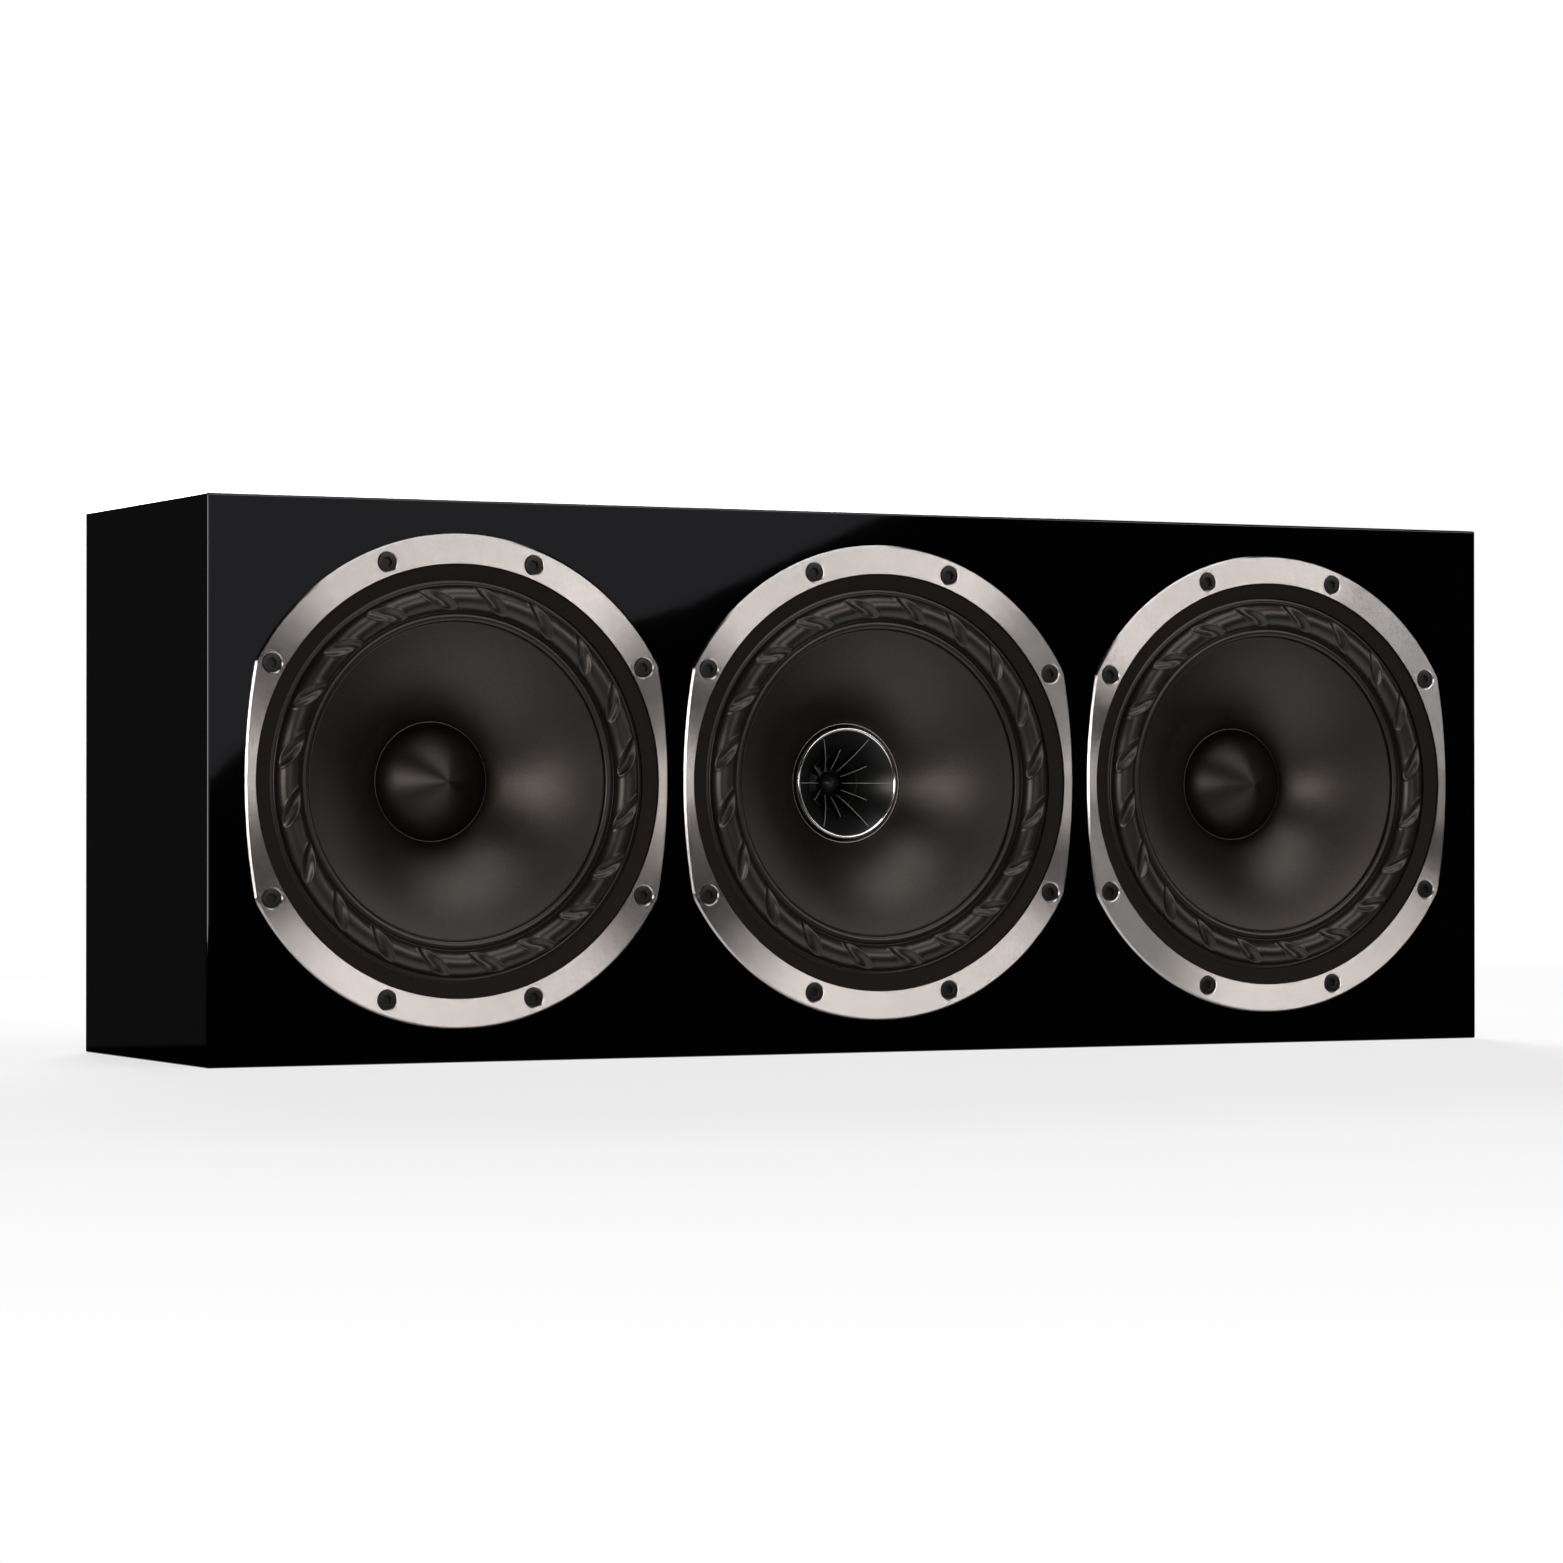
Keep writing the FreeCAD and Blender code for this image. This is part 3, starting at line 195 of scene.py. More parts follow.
class Wire:
    """A node's socket that can be written in plain arithmetic."""

    def __init__(self, tree, socket=None):
        self.tree = tree
        self.socket = socket

    def node(self, kind, settings=None, inputs=None, output=0):
        """Add a node, set it up, feed its inputs and give one of its outputs."""
        made = self.tree.nodes.new(kind)
        for name, value in (settings or {}).items():
            setattr(made, name, value)
        for name, value in (inputs or {}).items():
            self.feed(made.inputs[name], value)
        return Wire(self.tree, made.outputs[output])

    def feed(self, socket, value):
        """Link a wire to a socket, or set a plain value on it."""
        if isinstance(value, Wire):
            self.tree.links.new(value.socket, socket)
        else:
            socket.default_value = value

    def math(self, operation, first, second=0.0, third=0.0):
        return self.node("ShaderNodeMath", {"operation": operation}, {0: first, 1: second, 2: third})

    def __add__(self, other):
        return self.math("ADD", self, other)

    def __radd__(self, other):
        return self.math("ADD", other, self)

    def __sub__(self, other):
        return self.math("SUBTRACT", self, other)

    def __rsub__(self, other):
        return self.math("SUBTRACT", other, self)

    def __mul__(self, other):
        return self.math("MULTIPLY", self, other)

    def __truediv__(self, other):
        return self.math("DIVIDE", self, other)

    def __rtruediv__(self, other):
        return self.math("DIVIDE", other, self)

    def apart(self):
        """The three parts of a vector."""
        split = self.node("ShaderNodeSeparateXYZ", inputs={0: self}).socket.node
        return [Wire(self.tree, socket) for socket in split.outputs]

    def joined(self, x, y, z):
        return self.node("ShaderNodeCombineXYZ", inputs={0: x, 1: y, 2: z})

    def vector(self, operation, first, second=(0, 0, 0), output=0):
        return self.node("ShaderNodeVectorMath", {"operation": operation}, {0: first, 1: second}, output)

    def length(self):
        """How long a vector is."""
        return self.vector("LENGTH", self, output="Value")

    def band(self, low, high):
        """How far this value has gone from low to high, smoothly from 0 to 1."""
        inputs = {"Value": self, "From Min": low, "From Max": high}
        return self.node("ShaderNodeMapRange", {"interpolation_type": "SMOOTHSTEP"}, inputs)

    def rise(self, low, high, reach):
        """From 0 to a reach, in a straight line, as this value goes from low to high."""
        inputs = {"Value": self, "From Min": low, "From Max": high, "To Max": reach}
        return self.node("ShaderNodeMapRange", inputs=inputs)

    def tint(self, dark, light):
        """A colour between two, by this value."""
        first, second = MIX_COLOURS
        inputs = {0: self, first: (*dark, 1), second: (*light, 1)}
        return self.node("ShaderNodeMix", {"data_type": "RGBA"}, inputs, MIX_COLOUR_OUT)

    def noise(self, place, scale, detail, roughness):
        inputs = {"Vector": place, "Scale": scale, "Detail": detail, "Roughness": roughness}
        return self.node("ShaderNodeTexNoise", inputs=inputs)


class Finish:
    """A material under way: its shader, its wires and the coordinates of the piece that wears it."""

    def __init__(self, name, colour, roughness, metallic=0.0, **constants):
        self.material = bpy.data.materials.new(name)
        self.material.use_nodes = True
        self.shader = self.material.node_tree.nodes["Principled BSDF"]
        self.shader.inputs["Base Color"].default_value = (*colour, 1)
        self.shader.inputs["Roughness"].default_value = roughness
        self.shader.inputs["Metallic"].default_value = metallic
        for label, value in constants.items():
            self.shader.inputs[label.replace("_", " ")].default_value = value
        self.wire = Wire(self.material.node_tree)
        self.place = self.wire.node("ShaderNodeTexCoord", output="Object")

    def set(self, socket, wire):
        self.wire.feed(self.shader.inputs[socket], wire)

    def about_axis(self, side):
        """The way out from a drive unit's axis, as a vector, and the depth along the axis."""
        inputs = {"Vector": self.place, "Location": tuple(-part for part in CENTRES[side])}
        x, y, z = self.wire.node("ShaderNodeMapping", inputs=inputs).apart()
        return self.wire.joined(x, 0.0, z), y

    def grain(self, scale, detail=2.0, roughness=0.5):
        """Noise in the piece's own coordinates."""
        return self.wire.noise(self.place, scale, detail, roughness)

    def bump(self, height, distance):
        inputs = {"Strength": 1.0, "Distance": distance, "Height": height}
        self.set("Normal", self.wire.node("ShaderNodeBump", inputs=inputs))


# The lathe's rings: their width, and how far their sides lean
RING_PITCH = 0.05 * MM
RING_LEAN = 0.4

# Colours and sizes that a finish uses more than once
HORN_BLACK = (0.004, 0.004, 0.004)
LIP_METAL = (0.9, 0.88, 0.86)
COPPER = (0.5, 0.22, 0.1)
COIL_SHINE = 0.9
COIL_START = 60.0 * MM
COIL_BLEND = 0.5 * MM

# The coil's turns and the cloth's weave, as waves in radians a metre
COIL_WAVE = 16000.0
WEAVE_WAVE = 9000.0


def lacquer():
    """Polished black lacquer with the faint waviness of a sprayed coat."""
    finish = Finish("lacquer", (0.0006, 0.0006, 0.0007), roughness=0.03, Specular_IOR_Level=0.5)
    peel = finish.grain(scale=90.0, detail=1.0)
    haze = finish.grain(scale=14.0, detail=3.0)
    finish.set("Roughness", 0.02 + haze * 0.02)
    finish.bump(peel, distance=0.004 * MM)
    return finish.material


def turned_metal(side):
    """Lathe-turned metal: fine rings about the drive unit's axis spread each reflection outwards."""
    finish = Finish(f"turned_metal_{side}", (0.80, 0.76, 0.735), roughness=0.24, metallic=1.0)
    wire = finish.wire
    flat = finish.about_axis(side)[0]
    rings = wire.math("PINGPONG", flat.length() / RING_PITCH, 1.0)
    lean = (rings - 0.5) * (2 * RING_LEAN)
    outwards = wire.vector("NORMALIZE", flat)
    tilt = wire.node("ShaderNodeVectorMath", {"operation": "SCALE"}, {0: outwards, "Scale": lean})
    normal = wire.node("ShaderNodeNewGeometry", output="Normal")
    finish.set("Normal", wire.vector("NORMALIZE", wire.vector("ADD", normal, tilt)))
    smear = finish.grain(scale=30.0, detail=3.0)
    finish.set("Roughness", 0.135 + smear * 0.02)
    return finish.material


def gasket_rubber():
    """Dull dark rubber with a fine grain."""
    finish = Finish("gasket_rubber", (0.0045, 0.004, 0.0036), roughness=0.6,
                    Specular_IOR_Level=0.2, Specular_Tint=(1, 0.84, 0.70, 1))
    grain = finish.grain(scale=1800.0)
    finish.set("Base Color", grain.tint((0.003, 0.0026, 0.0024), (0.006, 0.0053, 0.0049)))
    finish.bump(grain, distance=0.06 * MM)
    return finish.material


def surround_rubber():
    """Satin black rubber with a faint bloom."""
    finish = Finish("surround_rubber", (0.003, 0.0026, 0.0023), roughness=0.37,
                    Specular_IOR_Level=0.66, Specular_Tint=(1, 0.92, 0.86, 1))
    grain = finish.grain(scale=1500.0)
    bloom = finish.grain(scale=60.0, detail=4.0)
    finish.set("Base Color", bloom.tint((0.0024, 0.0019, 0.0016), (0.0040, 0.0032, 0.0027)))
    finish.set("Roughness", 0.33 + bloom * 0.07)
    finish.bump(grain, distance=0.02 * MM)
    return finish.material


def pressed_paper(name, dark, light, smoothness):
    """Paper pulp with a graphite coat: a satin sheen that fades at a slant, short fibres and mottling."""
    finish = Finish(name, light, smoothness, metallic=0.95, Specular_Tint=(0, 0, 0, 1))
    fibres = finish.grain(scale=900.0, detail=6.0, roughness=0.65)
    mottle = finish.grain(scale=70.0, detail=4.0)
    finish.set("Base Color", fibres.tint(dark, light))
    finish.set("Roughness", smoothness - 0.05 + mottle * 0.1)
    finish.bump(fibres, distance=0.05 * MM)
    return finish.material


def black_horn():
    """Gloss black moulding with a polished metal lip."""
    finish = Finish("black_horn", HORN_BLACK, roughness=0.3)
    flat, depth = finish.about_axis("centre")
    lip_inner = HORN_WALL_START[0]
    lip_back = HORN_MOUTH_DEPTH + 2 * HORN_LIP_ROUND
    outside = flat.length().band(lip_inner, lip_inner + LIP_BLEND)
    front = 1 - depth.band(lip_back, lip_back + LIP_BLEND)
    lip = outside * front
    finish.set("Base Color", lip.tint(HORN_BLACK, LIP_METAL))
    finish.set("Metallic", lip)
    haze = finish.grain(scale=160.0)
    finish.set("Roughness", (1 - lip) * 0.22 + 0.10 + haze * 0.06)
    return finish.material


def horn_rib():
    """The horn's black, with a painted highlight: surfaces that face the front are coloured light grey to stand
    in for the glint of the rib edges.
    """
    finish = Finish("horn_rib", (0.2, 0.2, 0.2), roughness=0.35)
    backwards = finish.wire.node("ShaderNodeNewGeometry", output="Normal").apart()[1]
    # Painted highlight: the colour turns light grey where a rib's surface faces the front, in place of the
    # glint of its edge
    edge = (0 - backwards).band(*RIB_PAINTED_HIGHLIGHT)
    finish.set("Base Color", edge.tint((0.003, 0.003, 0.003), (0.24, 0.235, 0.225)))
    finish.set("Roughness", 0.3 + finish.grain(scale=400.0) * 0.1)
    return finish.material


def voice_coil_winding():
    """Copper turns on a pale former."""
    finish = Finish("copper", COPPER, roughness=0.35, metallic=COIL_SHINE)
    depth = finish.place.apart()[1]
    start = baffle_front + COIL_START
    wound = depth.band(start, start + COIL_BLEND)
    finish.set("Base Color", wound.tint((0.42, 0.40, 0.38), COPPER))
    finish.set("Metallic", wound * COIL_SHINE)
    turns = finish.wire.math("SINE", depth * COIL_WAVE)
    finish.bump(turns * wound, distance=0.04 * MM)
    return finish.material


def mottled(name, dark, light, roughness, metallic=0.0, scale=300.0, depth=0.03 * MM):
    """A plain finish with fine grain in its colour and its surface."""
    finish = Finish(name, light, roughness, metallic)
    grain = finish.grain(scale, detail=3.0)
    finish.set("Base Color", grain.tint(dark, light))
    finish.set("Roughness", roughness - 0.05 + grain * 0.1)
    finish.bump(grain, depth)
    return finish.material


def spider_cloth():
    """Resin-stiffened cloth with an open weave."""
    finish = Finish("spider_cloth", (0.5, 0.38, 0.18), roughness=0.8)
    wire = finish.wire
    x, unused, z = finish.place.apart()
    weave = wire.math("SINE", x * WEAVE_WAVE) * wire.math("SINE", z * WEAVE_WAVE)
    finish.set("Base Color", weave.band(-1.0, 1.0).tint((0.32, 0.23, 0.10), (0.55, 0.43, 0.22)))
    finish.bump(weave, distance=0.1 * MM)
    return finish.material


PLAIN_FINISHES = {
    "board": {"dark": (0.28, 0.19, 0.12), "light": (0.42, 0.30, 0.20), "roughness": 0.8, "scale": 700.0},
    "felt": {"dark": (0.22, 0.22, 0.23), "light": (0.45, 0.45, 0.46), "roughness": 0.95, "scale": 900.0,
             "depth": 0.4 * MM},
    "cast_metal": {"dark": (0.05, 0.05, 0.052), "light": (0.08, 0.08, 0.083), "roughness": 0.5,
                   "metallic": 0.6, "scale": 900.0, "depth": 0.1 * MM},
    "glue": {"dark": (0.05, 0.05, 0.05), "light": (0.07, 0.07, 0.07), "roughness": 0.25, "scale": 400.0},
    "steel": {"dark": (0.48, 0.47, 0.45), "light": (0.60, 0.59, 0.57), "roughness": 0.35, "metallic": 1.0,
              "scale": 120.0},
    "ferrite": {"dark": (0.02, 0.02, 0.022), "light": (0.06, 0.06, 0.063), "roughness": 0.6, "scale": 1500.0},
    "black_steel": {"dark": (0.002, 0.002, 0.002), "light": (0.004, 0.004, 0.004), "roughness": 0.36,
                    "scale": 1200.0},
    "dome_metal": {"dark": (0.020, 0.020, 0.021), "light": (0.030, 0.030, 0.031), "roughness": 0.4,
                   "metallic": 1.0, "scale": 200.0, "depth": 0.01 * MM},
    "black_plate": {"dark": (0.008, 0.008, 0.008), "light": (0.016, 0.016, 0.017), "roughness": 0.45,
                    "scale": 1600.0, "depth": 0.08 * MM},
    "plated_brass": {"dark": (0.72, 0.52, 0.20), "light": (0.86, 0.66, 0.30), "roughness": 0.2,
                     "metallic": 1.0, "scale": 90.0, "depth": 0.01 * MM},
    "black_knob_plastic": {"dark": (0.008, 0.008, 0.008), "light": (0.014, 0.014, 0.014), "roughness": 0.28,
                           "scale": 500.0},
    "red_knob_plastic": {"dark": (0.36, 0.010, 0.010), "light": (0.48, 0.018, 0.016), "roughness": 0.28,
                         "scale": 500.0},
    "circuit_board": {"dark": (0.03, 0.12, 0.05), "light": (0.06, 0.2, 0.09), "roughness": 0.4,
                      "scale": 120.0},
    "capacitor_film": {"dark": (0.68, 0.52, 0.10), "light": (0.8, 0.65, 0.18), "roughness": 0.35,
                       "scale": 60.0},
}
FINISHES = {
    "lacquer": lacquer(),
    "gasket_rubber": gasket_rubber(),
    "surround_rubber": surround_rubber(),
    "cone_paper": pressed_paper("cone_paper", (0.047, 0.0425, 0.039), (0.071, 0.0645, 0.059), 0.42),
    "cap_paper": pressed_paper("cap_paper", (0.035, 0.032, 0.030), (0.048, 0.044, 0.041), 0.4),
    "black_horn": black_horn(),
    "horn_rib": horn_rib(),
    "copper": voice_coil_winding(),
    "spider_cloth": spider_cloth(),
    **{name: mottled(name, **look) for name, look in PLAIN_FINISHES.items()},
}
TURNED_METAL = {side: turned_metal(side) for side in SIDES}


def finish_of(node, slot):
    if slot == "turned_metal":
        return TURNED_METAL[node.split("_")[0]]
    return FINISHES[slot]


SLOT_OF = {part["node"]: part["material_slot"] for part in frame["record"]["subparts"]}
for node, item in frame["nodes"].items():
    for material_slot in item.material_slots:
        material_slot.material = finish_of(node, SLOT_OF[node])


def geometry_tree(name, sockets):
    """A geometry tree with a named input for every size, and the wires of those inputs."""
    tree = bpy.data.node_groups.new(name, "GeometryNodeTree")
    for label, kind in sockets.items():
        tree.interface.new_socket(label, in_out="INPUT", socket_type=f"NodeSocket{kind}")
    tree.interface.new_socket("Mesh", in_out="OUTPUT", socket_type="NodeSocketGeometry")
    source = tree.nodes.new("NodeGroupInput")
    return Wire(tree), {label: Wire(tree, source.outputs[label]) for label in sockets}


def merged(wire, shape):
    """A shape whose meeting points are joined."""
    return wire.node("GeometryNodeMergeByDistance", inputs={"Geometry": shape, "Distance": MERGE_DISTANCE})


def close_tree(wire, shape, material):
    """Make the tree's shape real, give it its material and send it out."""
    real = wire.node("GeometryNodeRealizeInstances", inputs={0: shape})
    smooth = wire.node("GeometryNodeSetShadeSmooth", inputs={"Geometry": real})
    dressed = wire.node("GeometryNodeSetMaterial", inputs={"Geometry": smooth, "Material": material})
    end = wire.tree.nodes.new("NodeGroupOutput")
    wire.feed(end.inputs[0], dressed)
    return wire.tree


def grown(name, tree, values, mesh=None):
    """Run a tree with its values, on a mesh if it needs one, and keep the result as a plain mesh."""
    item = bpy.data.objects.new(name, mesh or bpy.data.meshes.new(name))
    bpy.context.scene.collection.objects.link(item)
    modifier = item.modifiers.new("Shape", "NODES")
    modifier.node_group = tree
    for socket in tree.interface.items_tree:
        if socket.in_out == "INPUT" and socket.socket_type != "NodeSocketGeometry":
            modifier[socket.identifier] = values[socket.name]
    keep_evaluated(item)
    return item


def keep_evaluated(item):
    """Replace a piece's mesh by what its modifiers make of it, and remove them."""
    evaluated = item.evaluated_get(bpy.context.evaluated_depsgraph_get())
    mesh = bpy.data.meshes.new_from_object(evaluated)
    item.modifiers.clear()
    item.data = mesh


def surround_tree():
    """A rubber half roll with slanting leaf-shaped flutes, wrapped from a flat grid."""
    sockets = {label: "Float" for label in SURROUND}
    wire, size = geometry_tree("fluted_surround", {**sockets, "Centre": "Vector", "Material": "Material"})
    rows = LIP_ROWS + ROLL_ROWS + BEAD_ROWS + FLANGE_ROWS
    loop_rows = rows + BACK_ROWS
    grid = wire.node("GeometryNodeMeshGrid", inputs={
        "Size X": 1.0, "Size Y": loop_rows, "Vertices X": SURROUND_STEPS + 1, "Vertices Y": loop_rows + 1})
    across_grid, along_grid = wire.node("GeometryNodeInputPosition").apart()[:2]
    turn = (across_grid + 0.5) * -math.tau
    loop_row = along_grid + loop_rows / 2
    row = loop_row.rise(0.0, rows, rows) - loop_row.rise(rows, loop_rows, rows)
    front = 1 - loop_row.rise(rows, rows + 1, 1.0) + loop_row.rise(loop_rows - 1, loop_rows, 1.0)
    roll = (size["Roll outer radius"] - size["Roll inner radius"]) / 2.0
    middle = size["Roll inner radius"] + roll
    lip = size["Roll inner radius"] - size["Lip inner radius"]
    flange = size["Rim radius"] - size["Roll outer radius"]
    lip_walked = row.rise(0.0, LIP_ROWS, lip)
    bend = row.rise(LIP_ROWS, LIP_ROWS + ROLL_ROWS, math.pi)
    beyond = row.rise(LIP_ROWS + ROLL_ROWS, rows - FLANGE_ROWS, BEAD_REACH)
    beyond = beyond + row.rise(rows - FLANGE_ROWS, rows, flange - BEAD_REACH)
    pitch = math.tau / size["Flute count"]
    number = wire.math("ROUND", (turn - size["First flute"]) / pitch)
    around = (turn - size["First flute"] - number * pitch) * middle
    over = (bend - math.pi / 2) * roll
    slant_sine = wire.math("SINE", size["Flute slant"])
    slant_cosine = wire.math("COSINE", size["Flute slant"])
    along = (around * slant_cosine + over * slant_sine) / (size["Flute length"] / 2.0)
    across = (over * slant_cosine - around * slant_sine) / (size["Flute width"] / 2.0)
    away = along * along + across * across
    scoop = wire.math("SMOOTH_MAX", 1 - away, 0.0, size["Flute softness"]) * size["Flute depth"]
    from_rim = (wire.math("SQRT", away) - 1.0 - size["Rim width"] / 2.0) / (size["Rim width"] / 2.0)
    ridge = wire.math("MAXIMUM", 1 - from_rim * from_rim, 0.0) * size["Rim height"]
    leaving = bend.band(math.pi - FLUTE_FULL, math.pi - FLUTE_START)
    on_roll = bend.band(FLUTE_START, FLUTE_FULL) * (1 - leaving)
    curve = roll - (scoop - ridge) * on_roll * front - size["Roll thickness"] * (1 - front)

    from_bead = (beyond - size["Bead offset"]) / (size["Bead width"] / 2.0)
    bead = wire.math("MAXIMUM", 1 - from_bead * from_bead, 0.0) * size["Bead height"]
    over_lip = lip_walked / lip * 2.0 - 1.0
    swell = (1 - over_lip * over_lip) * size["Lip swell"]
    flat = 1 - wire.math("MINIMUM", wire.math("SINE", bend) * BACK_RISE, 1.0)
    behind = (1 - front) * size["Flat thickness"] * flat
    radius = size["Lip inner radius"] + lip_walked + roll - curve * wire.math("COSINE", bend) + beyond
    step = wire.math("MINIMUM", beyond / size["Flange step"], 1.0) * size["Flange step"]
    depth = size["Foot depth"] - curve * wire.math("SINE", bend) + step - (bead + swell) * front
    spot = wire.joined(radius * wire.math("COSINE", turn), depth + behind, radius * wire.math("SINE", turn))
    place = wire.vector("ADD", spot, size["Centre"])
    wrapped = wire.node("GeometryNodeSetPosition", inputs={"Geometry": grid, "Position": place})
    return close_tree(wire, merged(wire, wrapped), size["Material"])


def surround(side, tree):
    """A drive unit's rubber surround. It follows the cabinet outside, the cone inside, and bends between."""
    material = FINISHES["surround_rubber"]
    values = {**SURROUND, "Centre": CENTRES[side], "Material": material}
    piece = grown(f"{side}_fluted_surround", tree, values)
    outer = CENTRES[side] + Vector((ROLL_OUTER, 0, 0))
    inner = CENTRES[side] + Vector((ROLL_INNER, 0, 0))
    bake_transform(piece, "cabinet", f"{side}_cone_unit", start=outer, end=inner)
    # The bend runs inwards from all around, so each point's share goes by its distance from the axis
    weights = piece.data.attributes["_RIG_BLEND"].data
    for vertex, weight in zip(piece.data.vertices, weights):
        away = math.hypot(vertex.co.x - CENTRES[side].x, vertex.co.z - CENTRES[side].z)
        share = min(max((ROLL_OUTER - away) / (ROLL_OUTER - ROLL_INNER), 0.0), 1.0)
        weight.value = share * share * (3 - 2 * share)
    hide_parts(f"{side}_surround")


fluted = surround_tree()
for side in SIDES:
    surround(side, fluted)


def turned_shape(name, profile, steps, centre, closed=False):
    """A profile of radius and depth turned about the Y axis. A radius may be a rule of the turn."""
    corners = []
    for radius, depth in profile:
        for step in range(steps):
            turn = math.tau * step / steps
            reach = radius(turn) if callable(radius) else radius
            corners.append(centre + Vector((reach * math.cos(turn), depth, reach * math.sin(turn))))
    faces = []
    rows = len(profile)
    for row in range(rows if closed else rows - 1):
        near = row * steps
        far = (row + 1) % rows * steps
        for step in range(steps):
            after = (step + 1) % steps
            faces.append((near + step, near + after, far + after, far + step))
    if not closed:
        faces.append(tuple(range(steps)))
        faces.append(tuple(range((rows - 1) * steps, rows * steps)))
    mesh = bpy.data.meshes.new(name)
    mesh.from_pydata(corners, [], faces)
    work = bmesh.new()
    work.from_mesh(mesh)
    bmesh.ops.recalc_face_normals(work, faces=work.faces)
    work.to_mesh(mesh)
    work.free()
    mesh.shade_smooth()
    mesh.set_sharp_from_angle(angle=SHARP_ANGLE)
    return mesh


def arc(centre_radius, centre_depth, radius, start, end, steps):
    """Points of an arc. Its angles are counted from the front, growing towards the axis."""
    points = []
    for step in range(steps + 1):
        angle = start + (end - start) * step / steps
        points.append((centre_radius - radius * math.sin(angle), centre_depth - radius * math.cos(angle)))
    return points


def bulge(near, far, radius):
    """The centre of an arc through two points of radius and depth, which bulges to the front."""
    run = near[0] - far[0]
    fall = far[1] - near[1]
    chord = math.hypot(run, fall)
    reach = math.sqrt(radius * radius - chord * chord / 4)
    return (near[0] + far[0]) / 2 + reach * fall / chord, (near[1] + far[1]) / 2 + reach * run / chord


def socket_screw(name, sizes, facing):
    """A screw with a rounded head and a hexagon socket. It stands at the origin, along the depth axis."""
    size = {label: value * MM for label, value in sizes.items()}

    def hexagon(reach):
        sixth = math.pi / 3
        return lambda turn: reach * math.cos(sixth / 2) / math.cos(turn % sixth - sixth / 2)

    top = size["top"]
    rounding = size["rim"]
    rim = arc(size["head"] - rounding, top + rounding, rounding, 0.0, -math.pi / 2, SCREW_RIM_ROWS)
    profile = [
        (hexagon(size["socket"] * SOCKET_TAPER), top + size["socket_depth"]),
        (hexagon(size["socket"]), top + SOCKET_CHAMFER),
        (hexagon(size["socket"] + SOCKET_CHAMFER), top),
        *rim,
        (size["head"], size["seat"]),
        (size["shank"], size["seat"]),
        (size["shank"], size["tip"]),
    ]
    return turned_shape(name, [(radius, depth * facing) for radius, depth in profile], SCREW_STEPS, Vector())


def scattered(wire, points, size):
    """The tree's shape at every point, each with its own turn about the depth axis."""
    low, high = RANDOM_LIMITS
    limits = {low: 0.0, high: math.tau, "Seed": size["Seed"]}
    turn = wire.node("FunctionNodeRandomValue", {"data_type": "FLOAT"}, limits, RANDOM_NUMBER_OUT)
    return wire.node("GeometryNodeInstanceOnPoints", inputs={
        "Points": points, "Instance": size["Shape"], "Rotation": wire.joined(0.0, turn, 0.0)})


def frame_screw_tree():
    """Two rows of screws around each trim frame, placed by their number."""
    wire, size = geometry_tree("frame_screws", {
        "Shape": "Geometry", "Count": "Int", "Circle radius": "Float", "First turn": "Float",
        "Turn between": "Float", "Unit pitch": "Float", "Centre": "Vector", "Seed": "Int",
        "Material": "Material",
    })
    number = wire.node("GeometryNodeInputIndex")
    unit = wire.math("FLOOR", number / SCREWS_A_FRAME) - 1.0
    on_frame = wire.math("MODULO", number, SCREWS_A_FRAME)
    row = wire.math("FLOOR", on_frame / SCREWS_A_ROW)
    on_row = wire.math("MODULO", on_frame, SCREWS_A_ROW)
    turn = size["First turn"] + on_row * size["Turn between"] + row * math.pi
    reach = size["Circle radius"]
    spot = wire.joined(unit * size["Unit pitch"] + reach * wire.math("COSINE", turn), 0.0,
                       reach * wire.math("SINE", turn))
    place = wire.vector("ADD", spot, size["Centre"])
    points = wire.node("GeometryNodePoints", inputs={"Count": size["Count"], "Position": place})
    return close_tree(wire, scattered(wire, points, size), size["Material"])


def plate_screw_tree():
    """A screw at each corner of an upright rectangle."""
    wire, size = geometry_tree("plate_screws", {
        "Shape": "Geometry", "Width": "Float", "Height": "Float", "Centre": "Vector", "Seed": "Int",
        "Material": "Material",
    })
    corners = wire.node("GeometryNodeMeshGrid", inputs={
        "Size X": size["Width"], "Size Y": size["Height"], "Vertices X": 2, "Vertices Y": 2})
    upright = wire.node("GeometryNodeTransform", inputs={
        "Geometry": corners, "Translation": size["Centre"], "Rotation": (math.pi / 2, 0, 0)})
    return close_tree(wire, scattered(wire, upright, size), size["Material"])


def settle(piece, body, slot, *nodes):
    """Let a piece ride on a body and let it stand for the solids it details. The slot it is given is not used.
    """
    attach(piece, body)
    if nodes:
        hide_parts(*nodes)


